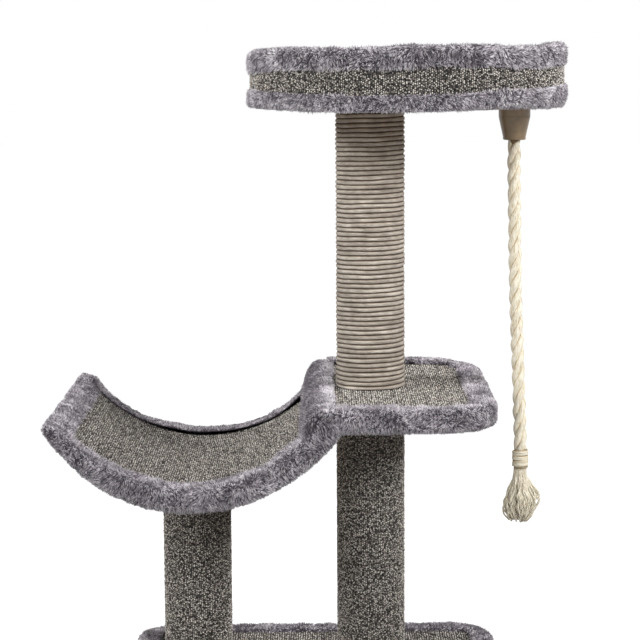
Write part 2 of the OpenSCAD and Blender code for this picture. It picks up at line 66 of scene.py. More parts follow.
# Lamps: place, width and power; they all face one spot. Then the light of the surroundings, and the
# floor's shade and the glow that the camera sees on it
LAMPS = {
    "left": ((-2.35, -0.76, 1.76), 0.9, 48),
    "right": ((2.26, -1.05, 1.72), 0.9, 45),
    "front": ((0.3, -2.65, 1.9), 1.2, 42),
}
LAMP_TARGET = (0, 0, 0.45)
AMBIENT = 0.15
FLOOR_SHADE = 0.45
FLOOR_GLOW = 0.9

# Plush: its thickness outside a board's edge, the reach of its lap, its pile and its tufts,
# how far a tuft stands up at the least, the fold where a lap ends, and the corners of the boards
PLUSH_THICK = 12 * MM
PLUSH_LAP = 22 * MM
PILE_DEPTH = 4.2 * MM
TUFT_LENGTH = 5.4 * MM
TUFT_RADIUS = 0.8 * MM
AREA_PER_TUFT = 1.4 * MM * MM
MOST_TUFTS = 44000
LEAST_RISE = 0.42
BACKING = 1.2 * MM
FOLD = 2.5 * MM
BASE_CORNER = 55 * MM
DECK_CORNER = 65 * MM
DECK_BACK_CORNER = DECK_CORNER + 17 * MM
SHEET_STEP = 9 * MM

# Loop carpet: the pitch of its rows and of the loops along a row, how far below the carpet's face a
# loop has its place and the backing lies, and the bare stretch under a lap
ROW_PITCH = 2.5 * MM
LOOP_PITCH = 2.75 * MM
LOOP_HEIGHT = 3.0 * MM
LOOP_SINK = LOOP_HEIGHT * 0.2
BACKING_SINK = 2.4 * MM
BARE_LAP = PLUSH_LAP - 3 * MM
YARNS = {"shade": [0.15, 0.42, 0.60, 0.80, 0.96], "share": [0.12, 0.18, 0.27, 0.26, 0.17]}

# Cradle: angles of its ends from straight down
FREE_ANGLE = 48.5
FIXED_ANGLE = 52

# Sisal rope on the upper post
SISAL_TURNS = 60

# Toy: its rope's route from the cup's mouth, sideways then down, and its sizes
ROPE_ROUTE_MM = [
    [0, 8.5], [0, 20], [0, 40], [0.5, 65], [1, 90], [1.5, 115], [2, 140], [2.5, 165], [3, 190], [4, 215],
    [5, 240], [6, 265], [7, 290], [8, 315], [9, 340], [10, 365], [10.5, 385], [11, 395], [11, 405],
]
ROPE_DIAMETER = 16 * MM
ROPE_LAY = 65 * MM
ROPE_IN_CUP = 4 * MM
CUP_MOUTH = 14.6 * MM
CUP_TOP = 20.2 * MM
CUP_BAND = 14 * MM
CUP_LIP = 4 * MM
CUP_BORE = 11.4 * MM
CUP_BORE_DEPTH = 22 * MM
CUP_OVERHANG = 1 * MM
CUP_EDGE = 1.4 * MM
WHIPPING_CORD = 1.7 * MM
WHIPPING_TURNS = 7

# Tassel: how far its outermost yarns reach to the left and right, in mm, along their fall
TASSEL_YARNS = 135
TASSEL_FALL = [0, 0.12, 0.26, 0.43, 0.60, 0.77, 0.90, 1]
TASSEL_LEFT = [8, 8.5, 10, 14, 19, 24.5, 21, 15]
TASSEL_RIGHT = [8, 8.5, 10, 20, 28.5, 25, 17, 9]


# --- Places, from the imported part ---

class Place:
    """The box of a CAD node, with the names that the pieces use."""

    def __init__(self, node):
        low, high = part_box(node)
        self.low, self.high = np.array(low), np.array(high)
        self.middle = (self.low + self.high) / 2
        self.size = self.high - self.low
        self.radius = self.size[0] / 2

    def out_from(self, points):
        """How far points lie from the upright axis through the middle."""
        return lengths(points[..., :2] - self.middle[:2])


main_post = Place("lower_post_carpet")
short_post = Place("short_post_carpet")
sisal_post = Place("upper_post_sisal")
base_edge = Place("base_trim")
base_carpet = Place("base_carpet")
deck_edge = Place("platform_trim")
deck_carpet = Place("platform_carpet")
shell = Place("cradle_shell")
cradle_edge = Place("cradle_front_trim")
cradle_carpet = Place("cradle_carpet")
cradle_end = Place("cradle_end_trim")
step = Place("junction_trim")
hoop = Place("bed_hoop")
low_rim = Place("bed_lower_trim")
top_rim = Place("bed_upper_trim")
cup = Place("toy_cup")

SHELL_R = shell.size[0] / (math.sin(math.radians(FREE_ANGLE)) + math.sin(math.radians(FIXED_ANGLE)))
CRADLE_X = shell.low[0] + SHELL_R * math.sin(math.radians(FREE_ANGLE))
CRADLE_Z = shell.low[2] + SHELL_R
CRADLE_AXIS = (CRADLE_X, 0, CRADLE_Z)
CARPET_R = SHELL_R - 15 * MM
TOY_X = cup.middle[0]
MOUTH_Z = cup.low[2]


def on_cradle(radius, degrees):
    """Place across the cradle at a radius and an angle from straight down: X and Z."""
    turn = math.radians(degrees)
    return CRADLE_X + radius * math.sin(turn), CRADLE_Z - radius * math.cos(turn)


# --- Camera ---

def add_camera():
    data = bpy.data.cameras.new("camera")
    data.lens = CAMERA_LENS
    data.sensor_width = CAMERA_SENSOR
    camera = bpy.data.objects.new("camera", data)
    camera.location = CAMERA_PLACE
    camera.rotation_euler = [math.radians(a) for a in (90 - CAMERA_DOWN, CAMERA_ROLL, CAMERA_PAN)]
    bpy.context.scene.collection.objects.link(camera)
    bpy.context.scene.camera = camera


add_camera()


# --- Shader maths ---

class Wire:
    """A shader value in an expression: each operator adds its Math node."""

    def __init__(self, nodes, socket):
        self.nodes, self.socket = nodes, socket

    def math(self, operation, *values):
        inputs = dict(enumerate(values))
        return self.nodes.node("ShaderNodeMath", {"operation": operation}, inputs)

    def __add__(self, other):
        return self.math("ADD", self, other)

    def __sub__(self, other):
        return self.math("SUBTRACT", self, other)

    def __mul__(self, other):
        return self.math("MULTIPLY", self, other)


class Nodes:
    """A node tree in the making, of a material or of the world."""

    def __init__(self, tree):
        self.tree = tree

    def feed(self, node, socket, value):
        target = node.inputs[socket]
        if isinstance(value, Wire):
            self.tree.links.new(value.socket, target)
        else:
            target.default_value = value

    def node(self, kind, settings, inputs, output=0):
        """Adds a node. Its settings come first, then the values or wires of its sockets."""
        made = self.tree.nodes.new(kind)
        for name, value in settings.items():
            if name == "stops":
                self.set_stops(made.color_ramp, value)
            else:
                setattr(made, name, value)
        for socket, value in inputs.items():
            self.feed(made, socket, value)
        return Wire(self, made.outputs[output])

    @staticmethod
    def set_stops(ramp, stops):
        while len(ramp.elements) < len(stops):
            ramp.elements.new(0.5)
        for element, (place, *shade) in zip(ramp.elements, stops):
            element.position = place
            element.color = colour(*shade)

    def ray(self, kind):
        return self.node("ShaderNodeLightPath", {}, {}, f"Is {kind} Ray")

    def seen_directly(self):
        """1 for what the camera sees, also in a mirror or through glass, and 0 for light."""
        direct = self.ray("Camera") + self.ray("Glossy") + self.ray("Transmission")
        return direct.math("MINIMUM", direct, 1.0)


class Finish(Nodes):
    """A material in the making, with its Principled shader."""

    def __init__(self, name, **shader_values):
        self.material = bpy.data.materials.new(name)
        self.material.use_nodes = True
        super().__init__(self.material.node_tree)
        self.shader = self.tree.nodes["Principled BSDF"]
        self.done(**shader_values)

    def place(self):
        return self.node("ShaderNodeTexCoord", {}, {}, "Object")

    def attribute(self, name):
        return self.node("ShaderNodeAttribute", {"attribute_name": name}, {}, "Fac")

    def along_yarn(self, stretch):
        strand = self.node("ShaderNodeUVMap", {"uv_map": "rope"}, {})
        return self.stretched(strand, stretch)

    def stretched(self, vector, scale):
        return self.node("ShaderNodeMapping", {}, {"Vector": vector, "Scale": scale})

    def noise(self, vector, size, detail=2.0, roughness=0.5):
        """Noise from 0 to 1 whose features are about size metres across."""
        inputs = {"Vector": vector, "Scale": 1 / size, "Detail": detail, "Roughness": roughness}
        return self.node("ShaderNodeTexNoise", {}, inputs, "Fac")

    def remap(self, value, low, high, new_low=0.0, new_high=1.0):
        inputs = {"Value": value, "From Min": low, "From Max": high, "To Min": new_low, "To Max": new_high}
        return self.node("ShaderNodeMapRange", {"clamp": True}, inputs)

    def ramp(self, value, *stops):
        """A colour for each value, from stops of a place and a display colour."""
        return self.node("ShaderNodeValToRGB", {"stops": stops}, {0: value}, "Color")

    def mix(self, share, a, b, blend="MIX"):
        settings = {"data_type": "RGBA", "blend_type": blend, "clamp_factor": True}
        return self.node("ShaderNodeMix", settings, {0: share, 6: a, 7: b}, 2)

    def times(self, a, b):
        return self.mix(1.0, a, b, "MULTIPLY")

    def bump(self, height, distance):
        return self.node("ShaderNodeBump", {}, {"Height": height, "Distance": distance, "Strength": 1.0})

    def done(self, **shader_values):
        for socket, value in shader_values.items():
            self.feed(self.shader, socket.replace("_", " "), value)
        return self.material


def colour(red, green, blue):
    """A display colour, 0 to 255, as the linear colour that a shader takes."""
    linear = [c / 12.92 if c <= 0.04045 else ((c + 0.055) / 1.055) ** 2.4
              for c in (red / 255, green / 255, blue / 255)]
    return (*linear, 1.0)


WHITE = (1, 1, 1, 1)


# --- Finishes ---

def plush_finish():
    """Mauve-grey pile: dark at the roots, pale at the tips, as painted shade deep in the pile, in painted
    clouds of sheen and shade where it lies differently, dimmed where painted shade is laid.
    """
    f = Finish("plush", Roughness=0.85, Sheen_Weight=0.2, Sheen_Roughness=0.4,
               Sheen_Tint=colour(225, 222, 232))
    place = f.place()
    clouds = f.remap(f.noise(place, 34 * MM, 3, 0.6), 0.34, 0.66)
    patches = f.remap(f.noise(place, 12 * MM, 2, 0.5), 0.3, 0.7)
    tuft = f.attribute("along") * 0.26 + f.attribute("shade") * 0.54 + clouds * 0.12 + patches * 0.08
    fur = f.ramp(tuft, (0.14, 47, 42, 49), (0.32, 99, 93, 101),
                 (0.48, 160, 153, 160), (0.64, 217, 211, 217), (0.80, 253, 249, 252))
    # Painted shade: points that carry it are dimmed towards mid grey.
    dim = f.mix(f.attribute("dusk"), WHITE, colour(128, 130, 128))
    return f.done(Base_Color=f.times(fur, dim))


def carpet_finish():
    """Coarse loop pile in salt-and-pepper yarn, with painted shade towards the loops' roots."""
    f = Finish("loop_carpet", Roughness=0.9, Sheen_Weight=0.1)
    place = f.place()
    yarn = f.attribute("shade") + f.noise(place, 1.8 * MM, 2) * 0.4 - 0.2
    yarns = f.ramp(yarn, (0.05, 44, 40, 37), (0.25, 92, 86, 80), (0.5, 156, 149, 141),
                   (0.75, 214, 207, 198), (0.95, 254, 248, 239))
    # Painted shade: the loops darken to near black towards their roots, between them.
    depth = f.ramp(f.attribute("along"), (0.0, 12, 11, 10), (0.44, 30, 28, 26),
                   (0.64, 150, 148, 145), (0.84, 255, 255, 255))
    return f.done(Base_Color=f.times(yarns, depth))


def sisal_finish():
    """Taupe sisal: fine fibres along the turns, painted shade in the grooves between them."""
    f = Finish("sisal", Roughness=0.75, Sheen_Weight=0.08)
    place = f.place()
    fibres = f.noise(f.stretched(place, (0.06, 0.06, 1.0)), 0.55 * MM, 3, 0.7)
    turns = f.noise(f.stretched(place, (0.1, 0.1, 1.0)), 5.5 * MM, 1)
    stains = f.noise(place, 14 * MM, 3)
    tone = fibres * 0.5 + stains * 0.22 + turns * 0.28
    straw = f.ramp(tone, (0.34, 116, 105, 94), (0.5, 176, 166, 154), (0.66, 226, 218, 206))
    # Painted shade in the grooves: darker where points lie further in.
    groove = f.ramp(f.attribute("along"), (0.3, 46, 36, 28), (0.52, 108, 94, 81),
                    (0.72, 204, 193, 180), (0.88, 255, 255, 255))
    return f.done(Base_Color=f.times(straw, groove), Normal=f.bump(fibres, 0.35 * MM))


def cotton_finish():
    """Cream cotton yarns that run along each strand, with painted shade in the crevices between strands and
    turns.
    """
    f = Finish("cotton_rope", Roughness=0.8, Sheen_Weight=0.15)
    yarns = f.noise(f.along_yarn((60.0, 14.0, 1.0)), 1.0, 2, 0.6)
    threads = f.noise(f.along_yarn((170.0, 40.0, 1.0)), 1.0, 2, 0.6)
    tone = yarns * 0.5 + threads * 0.3 + f.noise(f.place(), 4 * MM, 3) * 0.2
    cream = f.ramp(tone, (0.36, 188, 170, 136), (0.46, 228, 218, 193), (0.56, 246, 239, 222))
    # Painted shade in the crevices: darker where points lie further in.
    groove = f.ramp(f.attribute("along"), (0.0, 132, 110, 78), (0.4, 224, 213, 190),
                    (0.7, 255, 255, 255))
    return f.done(Base_Color=f.times(cream, groove), Normal=f.bump(yarns, 0.6 * MM))


def cup_finish():
    """Satin taupe-brown moulded plastic."""
    f = Finish("cup_plastic", Roughness=0.34)
    place = f.place()
    mottle = f.noise(place, 12 * MM, 3)
    brown = f.ramp(mottle, (0.3, 120, 101, 76), (0.7, 140, 119, 91))
    grain = f.noise(place, 0.5 * MM, 1)
    polish = f.remap(mottle, 0.3, 0.7, 0.3, 0.42)
    return f.done(Base_Color=brown, Roughness=polish, Normal=f.bump(grain, 0.02 * MM))


def board_finish():
    """Raw particle board: pressed flakes of a few tones."""
    f = Finish("board", Roughness=0.8)
    place = f.place()
    cells = {"Vector": f.stretched(place, (1, 0.6, 1.3)), "Scale": 1 / (4 * MM), "Randomness": 1.0}
    flakes = f.node("ShaderNodeTexVoronoi", {"feature": "F1"}, cells, "Color")
    one_flake = f.node("ShaderNodeSeparateColor", {}, {"Color": flakes})
    chips = f.ramp(one_flake, (0.0, 168, 134, 92), (0.4, 198, 166, 122),
                   (0.75, 214, 186, 144), (1.0, 150, 116, 78))
    tint = f.ramp(f.noise(place, 60 * MM, 2), (0.3, 228, 224, 218), (0.7, 255, 255, 255))
    grit = f.noise(place, 1.5 * MM, 3)
    return f.done(Base_Color=f.times(chips, tint), Normal=f.bump(grit, 0.2 * MM))


def plywood_finish():
    """Bent plywood: long grain with fine pores."""
    f = Finish("plywood", Roughness=0.6)
    place = f.place()
    grain = f.noise(f.stretched(place, (1.0, 0.08, 1.0)), 5 * MM, 4, 0.65)
    pores = f.noise(f.stretched(place, (1.0, 0.05, 1.0)), 1.2 * MM, 2)
    wood = f.ramp(grain, (0.25, 176, 138, 92), (0.5, 204, 168, 120), (0.75, 222, 192, 148))
    dark = f.ramp(pores, (0.3, 196, 186, 172), (0.45, 255, 255, 255))
    return f.done(Base_Color=f.times(wood, dark), Normal=f.bump(grain, 0.15 * MM))


def cardboard_finish():
    """Wound cardboard, with its faint spiral seams."""
    f = Finish("cardboard", Roughness=0.85)
    paper = f.noise(f.stretched(f.place(), (1, 1, 3)), 7 * MM, 4)
    brown = f.ramp(paper, (0.3, 150, 120, 84), (0.7, 182, 152, 112))
    return f.done(Base_Color=brown, Normal=f.bump(paper, 0.1 * MM))


def steel_finish():
    """Zinc plate, slightly clouded."""
    f = Finish("steel", Metallic=1.0, Roughness=0.35)
    clouds = f.noise(f.place(), 3 * MM, 3)
    zinc = f.ramp(clouds, (0.3, 170, 172, 176), (0.7, 204, 205, 208))
    return f.done(Base_Color=zinc, Roughness=f.remap(clouds, 0.3, 0.7, 0.28, 0.45))


def felt_finish():
    """Dark needled felt."""
    f = Finish("felt", Roughness=0.95, Sheen_Weight=0.2)
    fibres = f.noise(f.place(), 0.9 * MM, 4, 0.7)
    grey = f.ramp(fibres, (0.3, 42, 40, 41), (0.7, 82, 80, 80))
    return f.done(Base_Color=grey, Normal=f.bump(fibres, 0.3 * MM))


plush = plush_finish()
loop_carpet = carpet_finish()
sisal = sisal_finish()
cotton = cotton_finish()
cup_plastic = cup_finish()
board = board_finish()
plywood = plywood_finish()
cardboard = cardboard_finish()
steel = steel_finish()
felt = felt_finish()


# --- Arrays ---

def lengths(vectors):
    return np.linalg.norm(vectors, axis=-1)


def unit(vectors):
    """The same vectors at length 1."""
    return vectors / np.maximum(lengths(vectors), 1e-12)[..., None]


def drift(points, wavelength, seed):
    """Smooth noise of about -1 to 1 at points: a few waves in random directions."""
    dice = np.random.default_rng(seed)
    waves = unit(dice.normal(size=(9, 3))) * dice.uniform(0.6, 1.6, (9, 1)) * math.tau / wavelength
    phases = dice.uniform(0, math.tau, 9)
    return np.sin(points @ waves.T + phases).sum(axis=-1) / 3


def drifts(points, wavelength, seed):
    """Smooth noise in three directions at points."""
    return np.stack([drift(points, wavelength, seed + k) for k in range(3)], axis=1)


def read(mesh):
    """A mesh's points, their normals and its triangles, as arrays."""
    mesh.calc_loop_triangles()
    points = np.empty(len(mesh.vertices) * 3)
    normals = np.empty(len(mesh.vertices) * 3)
    triangles = np.empty(len(mesh.loop_triangles) * 3, int)
    mesh.vertices.foreach_get("co", points)
    mesh.vertices.foreach_get("normal", normals)
    mesh.loop_triangles.foreach_get("vertices", triangles)
    return points.reshape(-1, 3), normals.reshape(-1, 3), triangles.reshape(-1, 3)


def set_points(mesh, points):
    mesh.vertices.foreach_set("co", points.ravel())
    mesh.update()


def make_smooth(mesh):
    mesh.polygons.foreach_set("use_smooth", np.full(len(mesh.polygons), True))


def set_values(mesh, **values):
    """Writes values on a mesh's points, for its finish."""
    for label, value in values.items():
        spread = np.broadcast_to(value, len(mesh.vertices)).astype(np.float32)
        mesh.attributes.new(label, "FLOAT", "POINT").data.foreach_set("value", spread)


def set_uv(mesh, label, uv):
    """Writes a UV map from one place for each point."""
    corners = np.empty(len(mesh.loops), int)
    mesh.loops.foreach_get("vertex_index", corners)
    mesh.uv_layers.new(name=label).uv.foreach_set("vector", uv[corners].ravel())


def new_piece(name, points, blocks, uv_label, uv, **values):
    """A piece from arrays; each block holds faces with one number of corners."""
    corners = np.concatenate([block.ravel() for block in blocks])
    sizes = np.concatenate([np.full(len(block), block.shape[1]) for block in blocks])
    mesh = bpy.data.meshes.new(name)
    mesh.vertices.add(len(points))
    mesh.vertices.foreach_set("co", points.ravel())
    mesh.loops.add(len(corners))
    mesh.loops.foreach_set("vertex_index", corners)
    mesh.polygons.add(len(sizes))
    mesh.polygons.foreach_set("loop_start", np.cumsum(sizes) - sizes)
    make_smooth(mesh)
    set_uv(mesh, uv_label, uv)
    set_values(mesh, **values)
    mesh.update(calc_edges=True)
    piece = bpy.data.objects.new(name, mesh)
    bpy.context.scene.collection.objects.link(piece)
    return piece


# --- Modelling by hand ---

def begin(primitive, **settings):
    """Adds a primitive at its size and place, and opens it for editing with all of it selected."""
    bpy.ops.object.select_all(action="DESELECT")
    primitive(**settings)
    bpy.ops.object.transform_apply(location=True, rotation=True, scale=True)
    bpy.ops.object.mode_set(mode="EDIT")
    select_whole("VERT")
    return bpy.context.object


def select_whole(kind):
    bpy.ops.mesh.select_mode(type=kind)
    bpy.ops.mesh.select_all(action="SELECT")


def select(piece, kind, test):
    """Selects the points, edges or faces whose middles pass a test."""
    bpy.ops.mesh.select_mode(type=kind)
    bpy.ops.mesh.select_all(action="DESELECT")
    mesh = bmesh.from_edit_mesh(piece.data)
    if kind == "VERT":
        chosen = [point for point in mesh.verts if test(point.co)]
    else:
        parts = mesh.edges if kind == "EDGE" else mesh.faces
        middles = [sum((v.co for v in part.verts), Vector()) / len(part.verts) for part in parts]
        chosen = [part for part, middle in zip(parts, middles) if test(middle)]
    for part in chosen:
        part.select_set(True)
    bmesh.update_edit_mesh(piece.data)


def draw(points):
    """Draws a line through points, rounds the corners that give a fourth number, and selects its edges."""
    spots = [Vector(point[:3]) for point in points]
    line = begin(bpy.ops.mesh.primitive_plane_add, size=MM, location=spots[0])
    bpy.ops.mesh.merge(type="CENTER")
    for here, there in zip(spots, spots[1:]):
        bpy.ops.mesh.extrude_vertices_move(TRANSFORM_OT_translate={"value": there - here})
    for spot, point in zip(spots, points):
        if len(point) > 3:
            select(line, "VERT", lambda place: (place - spot).length < TINY)
            bpy.ops.mesh.bevel(offset=point[3], segments=6, affect="VERTICES")
    select_whole("EDGE")
    return line


def extrude(move):
    bpy.ops.mesh.extrude_region_move(TRANSFORM_OT_translate={"value": move})


def run(move):
    """Carries the selected line straight on, in short steps."""
    steps = max(1, round(Vector(move).length / SHEET_STEP))
    for _ in range(steps):
        extrude(Vector(move) / steps)


def turn(centre, degrees, axis=(0, 0, 1), steps=9):
    """Carries the selected line round an axis, anticlockwise seen from the axis's tip."""
    bpy.ops.mesh.spin(steps=steps, angle=-math.radians(degrees), center=centre, axis=axis)


def turn_on_cradle(sheet, free, fixed, free_steps, fixed_steps):
    """Carries a line drawn at the cradle's lowest place round its axis, to its free and fixed ends."""
    turn(CRADLE_AXIS, -free, (0, 1, 0), free_steps)
    select(sheet, "EDGE", lambda place: abs(place.x - CRADLE_X) < TINY)
    turn(CRADLE_AXIS, fixed, (0, 1, 0), fixed_steps)


def front_to_back(route, depth):
    """A sheet that runs from front to back, with flat closed ends; its route lies in X and Z."""
    sheet = draw([(point[0], -depth, *point[1:]) for point in route])
    run((0, 2 * depth, 0))
    for y in (-depth, depth):
        select(sheet, "EDGE", lambda place: abs(place.y - y) < TINY)
        bpy.ops.mesh.edge_face_add()
    settle(sheet, (-1, 0, 0))
    return sheet


def settle(sheet, outward):
    """Merges doubled points and turns a sheet's faces out; the sheet is furthest out along outward."""
    select_whole("VERT")
    bpy.ops.mesh.remove_doubles(threshold=0.05 * MM)
    bpy.ops.mesh.normals_make_consistent(inside=False)
    mesh = bmesh.from_edit_mesh(sheet.data)
    far = Vector(outward)
    if max(mesh.faces, key=lambda face: face.calc_center_median() @ far).normal @ far < 0:
        bpy.ops.mesh.flip_normals()
    bpy.ops.object.mode_set(mode="OBJECT")


def apply(piece, kind, **settings):
    """Adds a modifier with its settings and applies it."""
    bpy.context.view_layer.objects.active = piece
    modifier = piece.modifiers.new(kind, kind)
    for name, value in settings.items():
        setattr(modifier, name, value)
    bpy.ops.object.modifier_apply(modifier=modifier.name)


def ruffle(sheet, height, wavelength, seed, shift=None):
    """Gives a sheet gentle waves along its normals, and a shift that a function gives."""
    points, normals, _ = read(sheet.data)
    waves = normals * height * drift(points, wavelength, seed)[:, None]
    if shift is not None:
        waves += shift(points)
    set_points(sheet.data, points + waves)


def stamp(primitive, shape_it=None, **settings):
    """A small shape to copy: its points and triangles."""
    piece = begin(primitive, **settings)
    if shape_it is not None:
        shape_it(piece)
    bpy.ops.object.mode_set(mode="OBJECT")
    points, _, triangles = read(piece.data)
    bpy.data.objects.remove(piece)
    return points, triangles


def copies(name, pattern, origins, directions, sizes, shade, dusk=0.0):
    """One piece of many copies of a stamp, each with its directions of X, Y and Z and its three sizes."""
    points, triangles = pattern
    n, k = len(origins), len(points)
    axes = np.stack([way * size[:, None] for way, size in zip(directions, sizes)], axis=1)
    placed = origins[:, None] + np.einsum("ka,nab->nkb", points, axes)
    faces = np.arange(n)[:, None, None] * k + triangles[None]
    side = math.ceil(math.sqrt(n))
    cell = np.stack([np.arange(n) % side, np.arange(n) // side], axis=1)
    uv = (cell[:, None] + 0.5 + 0.45 * points[None, :, :2]) / side * [1.0, 0.9]
    dusk = np.repeat(np.broadcast_to(dusk, n), k)
    return new_piece(name, placed.reshape(-1, 3), [faces.reshape(-1, 3)], "OFBake", uv.reshape(-1, 2),
                     along=np.tile(points[:, 2], n), shade=np.repeat(shade, k), dusk=dusk)


def hand_over(piece, name, finish, node, body="root"):
    """Names a piece, gives it its finish, sets what it rides on, and hides the CAD node that it stands in
    for.
    """
    piece.name = name
    piece.data.name = name
    piece.data.materials.clear()
    piece.data.materials.append(finish)
    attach(piece, body)
    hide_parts(node)
    return piece


def back_up(backing, pile, name, finish, node):
    """Joins a pile to its backing, as one piece."""
    points, _, _ = read(backing.data)
    low, high = points.min(axis=0), points.max(axis=0)
    share = (points - low) / np.maximum(high - low, TINY)
    set_uv(backing.data, "OFBake", np.stack([0.02 + 0.96 * share[:, 0], 0.92 + 0.07 * share[:, 2]], axis=1))
    # The backing takes the roots' value, the darkest that the finishes paint as shade in the gaps.
    set_values(backing.data, along=0.0, shade=0.2, dusk=0.0)
    make_smooth(backing.data)
    bpy.ops.object.select_all(action="DESELECT")
    pile.select_set(True)
    backing.select_set(True)
    bpy.context.view_layer.objects.active = backing
    bpy.ops.object.join()
    return hand_over(backing, name, finish, node)


# --- Plush ---

TUFT = stamp(bpy.ops.mesh.primitive_cone_add, vertices=3, radius1=1, radius2=0, depth=1,
             location=(0, 0, 0.5))


def sample(sheet, dice, grows):
    """Random spots on a sheet, evenly over the faces that grow pile: points, normals and area for each."""
    points, normals, triangles = read(sheet.data)
    corners = points[triangles]
    flat = np.cross(corners[:, 1] - corners[:, 0], corners[:, 2] - corners[:, 0])
    area = lengths(flat) / 2 * grows(unit(flat))
    share = np.cumsum(area)
    count = min(round(share[-1] / AREA_PER_TUFT), MOST_TUFTS)
    pick = np.searchsorted(share, dice.uniform(0, share[-1], count))
    a, b = np.sort(dice.uniform(size=(2, count)), axis=0)
    weights = np.stack([a, b - a, 1 - b], axis=1)[:, :, None]
    smooth = unit((normals[triangles[pick]] * weights).sum(axis=1))
    return (corners[pick] * weights).sum(axis=1), unit(smooth + unit(flat[pick])), share[-1] / count


def grow_pile(sheet, node, seed, comb, tone, dusk=None, grows=None, under=1.0):
    """Makes plush of a sheet: a backing under thousands of tufts, with their lie and their shade.

    comb gives the lie at points, tone adds painted highlights and painted shade, a third function may dim
    points with more painted shade, and grows says which faces grow pile. The pile keeps the share under of
    its length where it faces down.
    """
    dice = np.random.default_rng(seed)
    point, normal, area_each = sample(sheet, dice, grows or (lambda facing: 1.0))
    n = len(point)
    flow, swirl = drifts(point, 52 * MM, seed + 1), drifts(point, 15 * MM, seed + 4)
    lean = normal * 0.85 + flow * 0.5 + swirl * 0.25 + drifts(point, 5 * MM, seed + 14) * 0.3
    lean = unit(lean + dice.normal(scale=0.2, size=(n, 3)) + comb(point))
    shallow = np.minimum(0, np.sum(lean * normal, axis=1) - LEAST_RISE)
    lean = unit(lean - normal * shallow[:, None])
    side = unit(np.cross(lean, unit(dice.normal(size=(n, 3)))))
    length = TUFT_LENGTH * dice.uniform(0.75, 1.1, n) * (1 + 0.1 * drift(point, 25 * MM, seed + 7))
    length *= np.interp(normal[:, 2], [-0.95, -0.6], [under, 1])
    radius = TUFT_RADIUS * dice.uniform(0.75, 1.25, n) * math.sqrt(max(1.0, area_each / AREA_PER_TUFT))
    # The tufts' shade: random tone and clumps, broad clouds of painted sheen and painted shade, and what
    # tone paints.
    shade = dice.normal(0.5, 0.26, n) + 0.2 * drift(point, 4.5 * MM, seed + 8)
    shade += 0.12 * drift(point, 28 * MM, seed + 9) + tone(point)
    dim = 0.0 if dusk is None else dusk(point)
    pile = copies("pile", TUFT, point - normal * 0.5 * MM, (side, np.cross(lean, side), lean),
                  (radius, radius, length), np.clip(shade, 0, 1), dim)
    apply(sheet, "SOLIDIFY", thickness=BACKING, offset=-1.0)
    return back_up(sheet, pile, f"{node}_pile", plush, node)


def by_height(low, high, places=(0,), paler=(0,)):
    """Painted light and shade on plush from its lower edge to its upper: painted highlights on strokes at
    the lower edge, painted shade over the front, a painted highlight on the upper edge.

    It is paler by that much at these places along X, and evenly between them: painted light where that is
    more, painted shade where it is less.
    """
    def tone(point):
        height = (point[:, 2] - low) / (high - low)
        shade = np.interp(height, [0, 0.25, 0.55, 0.88, 1], [0.09, 0.03, -0.06, -0.07, 0.0])
        return shade + np.interp(point[:, 0], places, paler)
    return tone


def from_cradle(point):
    """The way to points from the cradle's axis, square to it."""
    out = point - CRADLE_AXIS
    out[:, 1] = 0
    return out


def by_depth(point):
    """Painted light and shade on the cradle's plush, from its underside to its lap on the carpet: a painted
    highlight low down, painted shade higher up.
    """
    height = (SHELL_R + 10 * MM - lengths(from_cradle(point))) / (32 * MM)
    return np.interp(height, [0, 0.25, 0.6, 0.9, 1], [0.11, 0.06, -0.07, -0.10, -0.02])


def comb_down(point):
    """The lie of pile that has been stroked down."""
    return np.tile([0.0, 0.0, -0.55], (len(point), 1))


def comb_out(point):
    """The lie of pile that has been stroked away from the cradle's axis."""
    return unit(from_cradle(point)) * 0.55


def board_section(place, low_pile):
    """Section of the plush round a board's edge: distance in from the plush's face, height, rounding."""
    top = place.high[2] - PILE_DEPTH
    low = place.low[2] + low_pile
    lap = PLUSH_THICK + PLUSH_LAP
    return [(lap, top - FOLD), (lap, top, 3 * MM), (PILE_DEPTH, top, 8 * MM),
            (PILE_DEPTH, low, 7 * MM), (lap, low)]


def front_line(section, x, front_y):
    """Draws a section at the middle of a front edge."""
    return draw([(x, front_y + point[0], *point[1:]) for point in section])


def corner_centres(low, high, radius):
    """The corners' centres of a rounded rectangle, front right, back right, back left and front left."""
    return [(high[0] - radius, low[1] + radius, 0), (high[0] - radius, high[1] - radius, 0),
            (low[0] + radius, high[1] - radius, 0), (low[0] + radius, low[1] + radius, 0)]


def base_plush():
    """Plush round the base, in one strip."""
    low, high = base_edge.low, base_edge.high
    corners = corner_centres(low, high, BASE_CORNER)
    wide, deep = base_edge.size[:2] - 2 * BASE_CORNER
    sheet = front_line(board_section(base_edge, 2.5 * MM), base_edge.middle[0], low[1])
    run((wide / 2, 0, 0))
    for corner, move in zip(corners, ((0, deep, 0), (-wide, 0, 0), (0, -deep, 0), (wide / 2, 0, 0))):
        turn(corner, 90)
        run(move)
    settle(sheet, (0, -1, 0))
    ruffle(sheet, 0.6 * MM, 110 * MM, 9)
    # Painted shade: the base's plush is darker away from its left end.
    tone = by_height(low[2], high[2] - PILE_DEPTH, low[0] + np.array([10, 70]) * MM, [0, -0.2])
    piece = grow_pile(sheet, "base_trim", 10, comb_down, tone, grows=lambda facing: facing[:, 2] > -0.9)
    points, _, _ = read(piece.data)
    points[:, 2] = np.maximum(points[:, 2], 0.4 * MM)
    set_points(piece.data, points)


